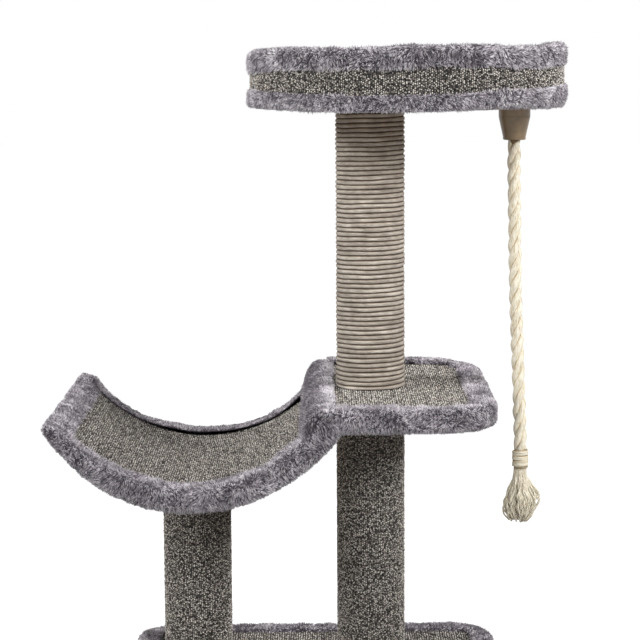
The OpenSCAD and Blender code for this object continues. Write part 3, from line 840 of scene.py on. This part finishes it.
def platform_plush():
    """Plush round three sides of the platform."""
    low, high = deck_edge.low, deck_edge.high
    front_right = corner_centres(low, high, DECK_CORNER)[0]
    back_right = corner_centres(low, high, DECK_BACK_CORNER)[1]
    start_x = step.high[0] - 8 * MM
    sheet = front_line(board_section(deck_edge, 0.4 * MM), start_x, low[1])
    run((front_right[0] - start_x, 0, 0))
    turn(front_right, 90)
    run((0, back_right[1] - front_right[1], 0))
    turn(back_right, 90)
    run((start_x - back_right[0], 0, 0))
    settle(sheet, (0, -1, 0))

    def back_higher(point):
        rise = np.interp(point[:, 0], [120 * MM, 190 * MM], [3 * MM, 0]) * (point[:, 1] > 0)
        return np.outer(rise, UP)

    ruffle(sheet, 0.6 * MM, 90 * MM, 19, back_higher)
    # Painted shade at the platform's right end.
    tone = by_height(low[2], high[2] - PILE_DEPTH, high[0] - np.array([60, 30]) * MM, [0, -0.09])
    grow_pile(sheet, "platform_trim", 20, comb_down, tone)


def bed_shift(free_from, *rises_mm):
    """How a soft rim of the bed rises and dips, outside a radius, from its left end to its right end."""
    def shift(point):
        across = (point[:, 0] - hoop.middle[0]) / hoop.radius
        rise = np.interp(across, [-1, -0.8, -0.3, 0.3, 0.8, 1], rises_mm) * MM
        rise *= np.interp(hoop.out_from(point), [free_from, free_from + 7 * MM], [0, 1])
        return np.outer(rise, UP)
    return shift


def round_bed(section, rim):
    """A sheet with this section, all round the bed."""
    sheet = front_line(section, hoop.middle[0], hoop.middle[1] - rim.radius)
    turn(hoop.middle, 360, steps=120)
    settle(sheet, (0, -1, 0))
    return sheet


def bed_lower_plush():
    """Plush round the lower edge of the bed's wall and floor."""
    high, low = low_rim.high[2] - 0.5 * MM, low_rim.low[2] + 3.1 * MM
    section = [(PILE_DEPTH + 2.5 * MM, high), (PILE_DEPTH, high - 5 * MM, 3 * MM),
               (PILE_DEPTH, low, 8 * MM), (28 * MM, low)]
    sheet = round_bed(section, low_rim)
    ruffle(sheet, 0.5 * MM, 100 * MM, 29, bed_shift(195 * MM, 0.2, -4.7, -7.8, -4, 5, 8))
    # Painted highlights and shade by height, and a little painted light all over.
    grow_pile(sheet, "bed_lower_trim", 30, comb_down, by_height(low, high, paler=[0.04]), under=0.45)


def bed_upper_plush():
    """Plush rolled over the bed's upper rim."""
    width = 29 * MM
    top, low = top_rim.high[2] - PILE_DEPTH, top_rim.low[2] + 1.5 * MM
    section = [(width - PILE_DEPTH + 1 * MM, low - 7 * MM), (width - PILE_DEPTH, top, 9.5 * MM),
               (PILE_DEPTH, top, 9.5 * MM), (PILE_DEPTH + 2 * MM, low)]
    sheet = round_bed(section, top_rim)
    ruffle(sheet, 0.7 * MM, 80 * MM, 39, bed_shift(0, -3, 1, 1, 4.5, 0.5, 6.5))
    inside = top_rim.radius - width + 6 * MM

    # Painted shade on the inner side of the rim, fading out over its top.
    def dusk(point):
        return np.clip((inside + 9 * MM - hoop.out_from(point)) / (6 * MM), 0, 1)

    grow_pile(sheet, "bed_upper_trim", 40, comb_down, by_height(low, top), dusk=dusk)


def cradle_shift(point):
    """How the cradle's plush hangs fuller below its middle and closer at its free end.

    Its upper side is nearer the axis along the back and at the fixed end, and less so towards its lap.
    """
    out = from_cradle(point)
    degrees = np.degrees(np.arctan2(out[:, 0], -out[:, 2]))
    fuller = np.interp(degrees, [-54, -46, -36, -12, 8, 25, 50], [-4.5, -3.5, -1, 4.5, 4, 3, 1.5])
    closer = np.interp(degrees, [-54, -40, -36, 26, 38, 50], [0.6, 0.6, 0, 0, -3.5, -4.5])
    closer += np.interp(degrees, [-30, -12, 10, 30], [0, -3.6, -3.6, 0]) * (point[:, 1] > 0)
    closer *= np.interp(cradle_edge.high[1] - np.abs(point[:, 1]), [24 * MM, 38 * MM], [1, 0])
    under = lengths(out) > SHELL_R - 6 * MM
    return unit(out) * np.where(under, fuller, closer)[:, None] * MM


def cradle_edge_plush():
    """Plush along the cradle's front and back edges."""
    under_z = CRADLE_Z - SHELL_R
    drop = under_z - 4.5 * MM
    lap = PLUSH_THICK + PLUSH_LAP + 6 * MM
    edges = (("cradle_front_trim", -1, 50, 24 * MM), ("cradle_back_trim", 1, 60, 21 * MM))
    for node, face, seed, thick in edges:
        rise = under_z + thick - PILE_DEPTH
        section = [(lap, rise), (PILE_DEPTH, rise, 8 * MM), (PILE_DEPTH, drop, 8 * MM), (lap, drop)]
        edge_y = cradle_edge.low[1] * -face
        sheet = draw([(CRADLE_X, edge_y - face * point[0], *point[1:]) for point in section])
        turn_on_cradle(sheet, 55.5, 49.5, 48, 42)
        settle(sheet, (0, face, 0))
        ruffle(sheet, 0.5 * MM, 90 * MM, seed - 1, cradle_shift)
        grow_pile(sheet, node, seed, comb_out, by_depth)


def cradle_end_plush():
    """Plush folded over the cradle's free end, with flat closed ends."""
    top_r = CARPET_R - 6.5 * MM + PILE_DEPTH
    under_r = SHELL_R + 6.0 * MM - PILE_DEPTH
    lap, board_end = FREE_ANGLE - 2.4, FREE_ANGLE - 1.0
    route = [(top_r, lap), (top_r, board_end), (top_r, FREE_ANGLE + 4.4, 11 * MM),
             (under_r, FREE_ANGLE + 7.0, 7 * MM), (under_r, board_end), (under_r, lap)]
    places = [(*on_cradle(radius, -degrees), *rounding) for radius, degrees, *rounding in route]
    sheet = front_to_back(places, cradle_end.high[1] - PILE_DEPTH)
    ruffle(sheet, 0.6 * MM, 80 * MM, 69, cradle_shift)
    # Painted shade: the end's plush is darker than the other plush.
    grow_pile(sheet, "cradle_end_trim", 70, comb_out, lambda point: -0.15)


def step_plush():
    """Plush over the step: it climbs from the cradle's carpet onto the platform."""
    low, high = step.low, step.high
    crest_x, top = deck_carpet.low[0], step.high[2] - PILE_DEPTH - 1.5 * MM
    route = [(high[0] - 2 * MM, deck_carpet.high[2] + 0.8 * MM), (high[0] - 3 * MM, top, 4 * MM),
             (crest_x - 12 * MM, top, 15 * MM), (low[0] + 1 * MM, low[2] + 14 * MM, 8 * MM),
             (low[0] - 1.5 * MM, low[2] + 1 * MM)]
    sheet = front_to_back(route, deck_edge.high[1] - PILE_DEPTH)
    ruffle(sheet, 0.8 * MM, 80 * MM, 79)
    # Painted shade on the step's left face, painted highlights on its crest.
    places = low[0] + np.array([0, 10, 20, 30, 44]) * MM
    shades = [-0.3, -0.46, -0.34, 0.1, 0.2]
    grow_pile(sheet, "junction_trim", 80, comb_down, lambda point: np.interp(point[:, 0], places, shades))


# --- Loop carpet ---

def root(piece):
    """Draws the middle of a low cone's base down, so that it is a bud with a point at each end."""
    select(piece, "VERT", lambda place: place.z < 0.5 and place.xy.length < TINY)
    bpy.ops.transform.translate(value=(0, 0, -0.42))


LOOP = stamp(bpy.ops.mesh.primitive_cone_add, root, vertices=4, radius1=1.12, radius2=0, depth=0.58,
             location=(0, 0, 0.71), end_fill_type="TRIFAN")


def knit(sheet, node, point, normal, row, seed, size=1.0, paler=0.0):
    """Makes loop carpet: loops of yarn at points on a backing; row is the direction of the rows."""
    dice = np.random.default_rng(seed)
    n = len(point)
    twist = dice.normal(scale=0.35, size=n)[:, None]
    along = row * np.cos(twist) + np.cross(normal, row) * np.sin(twist)
    x = unit(along + normal * dice.normal(scale=0.2, size=(n, 1)))
    y = unit(np.cross(normal, x))
    z = unit(np.cross(x, y) + dice.normal(scale=0.15, size=(n, 3)))
    long = LOOP_PITCH * 0.60 * size * dice.uniform(0.85, 1.2, n)
    wide = ROW_PITCH * 0.56 * size * dice.uniform(0.85, 1.2, n)
    tall = LOOP_HEIGHT * dice.uniform(0.72, 1.1, n)
    shade = dice.choice(YARNS["shade"], p=YARNS["share"], size=n) + dice.normal(scale=0.05, size=n) + paler
    loops = copies("loops", LOOP, point - normal * LOOP_HEIGHT * 0.8, (x, y, z), (long, wide, tall), shade)
    return back_up(sheet, loops, f"{node}_loops", loop_carpet, node)


def jittered(rows, columns, dice):
    """A grid of row and column numbers, each nudged, with every other row half a step on."""
    u, v = np.meshgrid(np.arange(rows), np.arange(columns), indexing="ij")
    v = v + 0.5 * (u % 2)
    u = u + dice.normal(scale=0.07, size=u.shape)
    v = v + dice.normal(scale=0.13, size=v.shape)
    return u.ravel(), v.ravel()


def flat_loops(sheet, node, seed, keep, pitch=1.0, paler=0.0):
    """Loop carpet on a level sheet; keep says where its loops show."""
    place = Place(node)
    dice = np.random.default_rng(seed)
    row_pitch, loop_pitch = ROW_PITCH * pitch, LOOP_PITCH * pitch
    rows, columns = int(place.size[0] / row_pitch), int(place.size[1] / loop_pitch)
    u, v = jittered(rows, columns, dice)
    spot = place.low[:2] + np.stack([(u + 0.5) * row_pitch, (v + 0.3) * loop_pitch], axis=1)
    spot = spot[keep(spot)]
    point = np.column_stack([spot, np.full(len(spot), place.high[2] - LOOP_SINK)])
    normal, row = np.tile(UP, (len(spot), 1)), np.tile(BACK, (len(spot), 1))
    knit(sheet, node, point, normal, row, seed + 1, pitch, paler)


def in_rounded(spot, low, high, radius):
    """Which spots lie inside a rounded rectangle."""
    centre, half = (low + high) / 2, (high - low) / 2
    past = np.maximum(np.abs(spot - centre) - (half - radius), 0)
    return lengths(past) < radius


def clear_of(spot, post):
    """Which spots lie outside a post."""
    return post.out_from(spot) > post.radius - 2 * MM


def slab(place, corners, radius):
    """The backing of a level carpet, with some of its corners rounded."""
    middle = (place.middle[0], place.middle[1], place.low[2])
    sheet = begin(bpy.ops.mesh.primitive_plane_add, size=1, location=middle)
    bpy.ops.transform.resize(value=(*place.size[:2], 1), center_override=middle)
    select(sheet, "VERT", corners)
    bpy.ops.mesh.bevel(offset=radius, segments=8, affect="VERTICES")
    select_whole("VERT")
    extrude((0, 0, place.size[2] - BACKING_SINK))
    settle(sheet, UP)
    return sheet


def base_loops():
    """Carpet on the base, round the posts."""
    radius = BASE_CORNER - PLUSH_THICK
    low, high = base_carpet.low[:2] + BARE_LAP, base_carpet.high[:2] - BARE_LAP
    sheet = slab(base_carpet, lambda place: True, radius)

    def keep(spot):
        shows = in_rounded(spot, low, high, radius - BARE_LAP)
        return shows & clear_of(spot, main_post) & clear_of(spot, short_post)

    flat_loops(sheet, "base_carpet", 110, keep, 1.3)


def platform_loops():
    """Carpet on the platform, round the sisal post."""
    radius = DECK_CORNER - PLUSH_THICK
    low, high = deck_carpet.low[:2] + [-radius, BARE_LAP], deck_carpet.high[:2] - BARE_LAP
    sheet = slab(deck_carpet, lambda place: place.x > deck_carpet.middle[0], radius)

    def keep(spot):
        shows = in_rounded(spot, low, high, radius - BARE_LAP) & (spot[:, 0] > step.high[0] - 4 * MM)
        return shows & clear_of(spot, sisal_post)

    # Painted light: the platform's loops are paler than the others.
    flat_loops(sheet, "platform_carpet", 120, keep, 1.12, 0.06)


def bed_floor_loops():
    """Carpet on the bed's floor."""
    place = Place("bed_floor_carpet")
    thick = place.size[2] - BACKING_SINK
    sheet = begin(bpy.ops.mesh.primitive_cylinder_add, vertices=96, radius=place.radius, depth=thick,
                  location=(place.middle[0], place.middle[1], place.low[2] + thick / 2))
    settle(sheet, UP)
    inner = place.radius - 5 * MM
    flat_loops(sheet, "bed_floor_carpet", 130, lambda spot: place.out_from(spot) < inner, 1.3)


def round_loops(node, seed, back_r, outward=1, tucked=0.0):
    """Loop carpet round a post or a hoop, on its outside (outward 1) or its inside (-1).

    It may be tucked by that far under the plush above and below.
    """
    place = Place(node)
    tall = place.size[2] + 2 * tucked
    face_r = place.radius if outward > 0 else place.radius - 5 * MM
    core_r = face_r - outward * BACKING_SINK
    sleeve = begin(bpy.ops.mesh.primitive_cylinder_add, vertices=96, radius=core_r, depth=tall,
                   location=place.middle, end_fill_type="NOTHING")
    settle(sleeve, (0, -1, 0))
    apply(sleeve, "SOLIDIFY", thickness=abs(core_r - back_r), offset=-outward)
    dice = np.random.default_rng(seed)
    around = round(math.tau * face_r / ROW_PITCH)
    u, v = jittered(around, int((tall - 2 * MM) / LOOP_PITCH), dice)
    angle = u * math.tau / around
    out = np.stack([np.cos(angle), np.sin(angle), 0 * angle], axis=1)
    point = place.middle + out * (face_r - outward * LOOP_SINK)
    point[:, 2] = place.low[2] - tucked + 1.2 * MM + (tall - 2.5 * MM) * (v + 0.25) / (v.max() + 0.5)
    knit(sleeve, node, point, out * outward, np.tile(UP, (len(out), 1)), seed + 1)


def cradle_loops():
    """Loop carpet on the cradle's inner face."""
    half = cradle_carpet.high[1]
    face_z = CRADLE_Z - CARPET_R - BACKING_SINK
    sheet = draw([(CRADLE_X, -half, face_z), (CRADLE_X, half, face_z)])
    turn_on_cradle(sheet, 50.5, 48.5, 34, 32)
    settle(sheet, UP)
    apply(sheet, "SOLIDIFY", thickness=BACKING_SINK, offset=-1.0)
    dice = np.random.default_rng(140)
    arc = math.radians(98.5) * CARPET_R
    width = 2 * (half - BARE_LAP)
    pitch = 1.12
    u, v = jittered(int(arc / (ROW_PITCH * pitch)), int(width / (LOOP_PITCH * pitch)), dice)
    angle = math.radians(-48.0) + u * ROW_PITCH * pitch / CARPET_R
    out = np.stack([np.sin(angle), 0 * angle, -np.cos(angle)], axis=1)
    point = CRADLE_AXIS + out * (CARPET_R + LOOP_SINK)
    point[:, 1] = -width / 2 + v * LOOP_PITCH * pitch
    # Painted shade: the cradle's loops are a little darker.
    knit(sheet, "cradle_carpet", point, -out, np.tile(BACK, (len(out), 1)), 141, pitch, -0.02)


# --- Sisal ---

def sisal_winding():
    """One rope wound round the upper post in close turns, never quite even."""
    low, high = sisal_post.low[2], sisal_post.high[2]
    thick = (high - low) / SISAL_TURNS
    rope_r, centre_r = thick * 0.53, sisal_post.radius - thick / 2
    rope = begin(bpy.ops.mesh.primitive_circle_add, vertices=12, radius=rope_r,
                 rotation=(math.pi / 2, 0, 0), location=(centre_r, 0, low - thick / 2))
    bpy.ops.object.mode_set(mode="OBJECT")
    apply(rope, "SCREW", axis="Z", angle=math.tau, screw_offset=thick, iterations=SISAL_TURNS, steps=72,
          render_steps=72, use_merge_vertices=False)
    bpy.ops.object.mode_set(mode="EDIT")
    select_whole("VERT")
    bpy.ops.mesh.fill_holes(sides=0)
    bpy.ops.mesh.normals_make_consistent(inside=False)
    bpy.ops.object.mode_set(mode="OBJECT")
    points, _, _ = read(rope.data)
    angle = np.arctan2(points[:, 1], points[:, 0])
    row = np.round((points[:, 2] - low) / thick - angle / math.tau)
    # How far out each point lies, for the painted shade in the grooves.
    depth = np.clip((lengths(points[:, :2]) - centre_r) / rope_r, 0, 1)
    ring = np.stack([np.cos(angle), np.sin(angle), row * 0.35], axis=1)
    points[:, 2] += 0.33 * MM * drift(ring, 1.3, 301)
    points[:, :2] *= (1 + 0.35 * MM / centre_r * drift(ring, 0.9, 302))[:, None]
    points[:, :2] += sisal_post.middle[:2]
    points[:, 2] = np.clip(points[:, 2], low, high)
    make_smooth(rope.data)
    set_points(rope.data, points)
    set_values(rope.data, along=depth)
    hand_over(rope, "sisal_turns", sisal, "upper_post_sisal")


# --- Toy: rope, whipping, tassel and cup ---

def along_line(line):
    """How far each point of a line lies along it."""
    return np.concatenate([[0], np.cumsum(lengths(np.diff(line, axis=0)))])


def smooth_line(points, spacing):
    """A smooth curve through points, evenly spaced."""
    padded = np.concatenate([[2 * points[0] - points[1]], points, [2 * points[-1] - points[-2]]])
    line = []
    for a, b, c, d in zip(padded, padded[1:], padded[2:], padded[3:]):
        for t in np.linspace(0, 1, 8, endpoint=False):
            line.append(0.5 * (2 * b + (c - a) * t + (2 * a - 5 * b + 4 * c - d) * t ** 2
                               + (3 * b - a - 3 * c + d) * t ** 3))
    line.append(points[-1])
    far = along_line(line)
    places = np.linspace(0, far[-1], max(2, round(far[-1] / spacing) + 1))
    return np.stack([np.interp(places, far, column) for column in np.transpose(line)], axis=1)


class Yarns:
    """Tubes that grow into one piece of cord."""

    def __init__(self):
        self.points, self.blocks, self.maps, self.depths, self.count = [], [], [], [], 0

    def add(self, line, radius, sides, depth, twist=0.0):
        """A round tube along a line, closed at its ends.

        depth says how far out each point lies, 0 to 1; twist is the turns of its yarns in a metre.
        """
        travel = unit(np.gradient(line, axis=0))
        level = abs(travel[:, 2]).mean() < 0.6
        across = unit(np.cross(travel, [0.0, 0.0, 1.0] if level else [0.0, 1.0, 0.0]))
        over = np.cross(across, travel)
        n, spokes = len(line), np.arange(sides) / sides * math.tau
        cos, sin = np.cos(spokes)[None, :, None], np.sin(spokes)[None, :, None]
        ring = across[:, None] * cos + over[:, None] * sin
        grid = line[:, None] + ring * np.broadcast_to(radius, n)[:, None, None]
        i, j = np.arange(n - 1)[:, None], np.arange(sides)[None, :]
        over_j = (j + 1) % sides
        corners = [i * sides + j, (i + 1) * sides + j, (i + 1) * sides + over_j, i * sides + over_j]
        walls = np.stack([corner + 0 * (i + j) for corner in corners], axis=-1).reshape(-1, 4)
        end = np.arange(sides)
        far = along_line(line)[:, None]
        uv = np.stack(np.broadcast_arrays(far, spokes[None, :] / math.tau + twist * far), axis=-1)
        self.points.append(grid.reshape(-1, 3))
        ends = end[None], (n - 1) * sides + end[None, ::-1]
        self.blocks += [block + self.count for block in (walls, *ends)]
        self.maps.append(uv.reshape(-1, 2))
        self.depths.append(np.broadcast_to(depth(grid), (n, sides)).ravel())
        self.count += n * sides

    def piece(self, name, node):
        made = new_piece(name, np.concatenate(self.points), self.blocks, "rope", np.concatenate(self.maps),
                         along=np.concatenate(self.depths))
        return hand_over(made, name, cotton, node, "toy_rope")


def toy_point(sideways, down):
    return np.array([TOY_X + sideways, 0.0, MOUTH_Z - down])


def rope_toy():
    """Three-strand cotton rope, its whipping and its tassel, each its own piece riding on the rope's body.
    """
    route = [toy_point(0, -ROPE_IN_CUP)] + [toy_point(s * MM, d * MM) for s, d in ROPE_ROUTE_MM]
    line = smooth_line(np.array(route), 2.5 * MM)
    far = along_line(line)
    travel = unit(np.gradient(line, axis=0))
    across = unit(np.cross(travel, [0.0, 1.0, 0.0]))
    front = np.cross(across, travel)
    strand_r = ROPE_DIAMETER / (2 + 4 / math.sqrt(3))
    lay_r = 2 * strand_r / math.sqrt(3)

    # How far out each point lies, for the painted shade in the crevices between strands.
    def depth(grid):
        out = lengths(grid - line[:, None])
        return np.clip((out - lay_r * 0.8) / (ROPE_DIAMETER / 2 - lay_r * 0.8), 0, 1)

    strands = Yarns()
    for strand in range(3):
        wind = far / ROPE_LAY * math.tau + strand * math.tau / 3
        spoke = across * np.cos(wind)[:, None] - front * np.sin(wind)[:, None]
        plump = strand_r * (1.19 + 0.07 * drift(line, 17 * MM, 180 + strand))
        plump *= np.interp(far, [8 * MM, 20 * MM], [0.9, 1])
        strands.add(line + spoke * lay_r, plump, 14, depth, -13.0)
    strands.add(line, lay_r * 0.9, 10, lambda grid: 0.45)
    rope = strands.piece("rope_strands", "toy_rope")
    rope_whipping()
    rope_tassel()


def rope_whipping():
    """Cord wound round the rope's end, in thin uneven turns."""
    place = Place("toy_whipping")
    cord_r, turns = WHIPPING_CORD, WHIPPING_TURNS
    wraps = np.linspace(0, turns, turns * 36)
    angle = -wraps * math.tau
    uneven = 0.45 * MM * np.sin(wraps * 2.3) + 0.3 * MM * np.sin(wraps * 5.1 + 1)
    centre_r = place.radius - cord_r - 0.4 * MM + uneven * 0.5
    low, high = place.low[2] + cord_r * 0.8, place.high[2] - cord_r * 0.8
    line = np.stack([place.middle[0] + centre_r * np.cos(angle), place.middle[1] + centre_r * np.sin(angle),
                     high - (high - low) * wraps / turns + uneven], axis=1)

    # How far out each point lies, for the painted shade between the turns.
    def depth(grid):
        return np.clip((place.out_from(grid) - (place.radius - cord_r)) / cord_r, 0, 1)

    cords = Yarns()
    cords.add(line, cord_r * 1.1, 8, depth)
    heights = np.linspace(place.low[2] - 1 * MM, place.high[2] + 1 * MM, 6)
    core = np.array([(*place.middle[:2], z) for z in heights])
    cords.add(core, place.radius - cord_r * 1.6, 16, lambda grid: 0.3)
    return cords.piece("rope_whipping", "toy_whipping")


def rope_tassel():
    """Unlaid yarns below the whipping: they flare, curl in on the left and hang out on the right."""
    place = Place("toy_tassel")
    dice = np.random.default_rng(200)
    yarns = Yarns()
    top, low = place.high[2] + 5 * MM, place.low[2]
    t = np.linspace(0, 1, 28)
    for _ in range(TASSEL_YARNS):
        angle = dice.uniform(0, math.tau)
        inner = math.sqrt(dice.uniform(0.02, 1))
        left = 0.5 - 0.5 * math.cos(angle)
        widths = np.multiply(TASSEL_LEFT, left) + np.multiply(TASSEL_RIGHT, 1 - left)
        reach = np.interp(t, TASSEL_FALL, widths)
        reach = np.convolve(np.pad(reach, 1, "edge"), [0.25, 0.5, 0.25], "valid") - 1.5
        length = (top - low) * dice.uniform(0.84, 1.0)
        phase = dice.uniform(0, math.tau, 2)
        wave = dice.uniform(0.6, 1.5) * MM * np.clip(t * 2.5, 0, 1)
        x = reach * MM * inner * math.cos(angle) + wave * np.sin(t * dice.uniform(12, 32) + phase[0])
        y = reach * MM * inner * math.sin(angle) * 0.85 + wave * np.sin(t * dice.uniform(12, 32) + phase[1])
        line = np.stack([place.middle[0] + x, place.middle[1] + y, top - length * t], axis=1)
        radius = dice.uniform(1.15, 1.8) * MM * (1 - 0.25 * t)
        shade = 0.8 + 0.4 * inner * dice.uniform(0.7, 1.0)
        yarns.add(line, radius, 6, lambda grid: shade)
    return yarns.piece("rope_tassel", "toy_tassel")


def cup_body():
    """The cup that the rope hangs from: a cone with a band at the bed and a short lip at its mouth."""
    mouth = cup.low[2] - CUP_OVERHANG
    cone_low, cone_high = mouth + CUP_LIP, cup.high[2] - CUP_BAND
    middle = (cup.middle[0], cup.middle[1], (cone_low + cone_high) / 2)
    piece = begin(bpy.ops.mesh.primitive_cone_add, vertices=72, radius1=CUP_MOUTH, radius2=CUP_TOP,
                  depth=cone_high - cone_low, location=middle)
    select(piece, "FACE", lambda place: place.z > cone_high - TINY)
    bpy.ops.mesh.inset(thickness=0.5 * MM)
    extrude((0, 0, 0.8 * MM))
    wider = CUP_TOP / (CUP_TOP - 0.5 * MM)
    bpy.ops.transform.resize(value=(wider, wider, 1), center_override=(*cup.middle[:2], 0))
    extrude((0, 0, CUP_BAND - 0.8 * MM))
    select(piece, "FACE", lambda place: place.z < cone_low + TINY)
    extrude((0, 0, -CUP_LIP))
    bpy.ops.mesh.inset(thickness=CUP_MOUTH - CUP_BORE)
    extrude((0, 0, CUP_BORE_DEPTH))
    select(piece, "EDGE", lambda place: abs(place.z - mouth) < TINY)
    bpy.ops.mesh.bevel(offset=CUP_EDGE, segments=5)
    bpy.ops.object.mode_set(mode="OBJECT")
    bpy.ops.object.shade_smooth_by_angle(angle=math.radians(32))
    hand_over(piece, "cup_body", cup_plastic, "toy_cup")


# --- The making ---

rope_toy()
cup_body()
base_plush()
platform_plush()
bed_lower_plush()
bed_upper_plush()
cradle_edge_plush()
cradle_end_plush()
step_plush()
base_loops()
platform_loops()
cradle_loops()
bed_floor_loops()
tube_r = Place("lower_post_tube").radius
round_loops("lower_post_carpet", 150, tube_r)
round_loops("short_post_carpet", 160, tube_r)
round_loops("bed_band_carpet", 170, hoop.radius, tucked=7 * MM)
round_loops("bed_lining", 180, Place("bed_lining").radius, -1, tucked=2.2 * MM)
sisal_winding()


# --- Finishes of the CAD nodes ---

SLOT_FINISHES = {"board": board, "cardboard": cardboard, "steel": steel, "felt": felt, "cotton_rope": cotton}
PLYWOOD_NODES = ("cradle_shell", "bed_hoop", "cradle_saddle")


def finish_cad_nodes():
    """Gives each CAD node that still shows the finish of its slot."""
    for part in frame["record"]["subparts"]:
        node = frame["nodes"][part["node"]]
        if node.hide_render:
            continue
        finish = plywood if part["node"] in PLYWOOD_NODES else SLOT_FINISHES[part["material_slot"]]
        node.data.materials.clear()
        node.data.materials.append(finish)


finish_cad_nodes()


# --- Stage and light ---

def add_floor():
    """A pale floor that keeps the shadow and turns white for the camera and in reflections."""
    bpy.ops.object.select_all(action="DESELECT")
    bpy.ops.mesh.primitive_plane_add(size=30, location=(0, 0, 0))
    floor = bpy.context.object
    floor.name = "floor"
    pale = (FLOOR_SHADE, FLOOR_SHADE, FLOOR_SHADE, 1)
    f = Finish("floor_white", Roughness=0.9, Base_Color=pale, Emission_Color=WHITE,
               Emission_Strength=FLOOR_GLOW)
    plain = f.node("ShaderNodeBsdfDiffuse", {}, {"Color": pale})
    lit = Wire(f, f.shader.outputs[0])
    both = f.node("ShaderNodeMixShader", {}, {0: f.seen_directly(), 1: plain, 2: lit})
    f.feed(f.tree.nodes["Material Output"], "Surface", both)
    floor.data.materials.append(f.material)


def add_world():
    """Plain white surroundings, dimmer as light than they look."""
    world = bpy.data.worlds.new("studio")
    bpy.context.scene.world = world
    world.use_nodes = True
    n = Nodes(world.node_tree)
    background = world.node_tree.nodes["Background"]
    n.feed(background, "Color", WHITE)
    n.feed(background, "Strength", n.seen_directly() * (1 - AMBIENT) + AMBIENT)


def add_lamps():
    """Round lamps, each turned to the same spot."""
    for name, (place, width, power) in LAMPS.items():
        data = bpy.data.lights.new(name, "AREA")
        data.shape = "DISK"
        data.size = width
        data.energy = power
        lamp = bpy.data.objects.new(name, data)
        lamp.location = place
        aim = np.subtract(LAMP_TARGET, place)
        tilt, heading = math.acos(-aim[2] / lengths(aim)), math.atan2(aim[1], aim[0]) - math.pi / 2
        lamp.rotation_euler = (tilt, 0, heading)
        bpy.context.scene.collection.objects.link(lamp)


add_floor()
add_world()
add_lamps()
bpy.context.scene.view_settings.view_transform = "Standard"
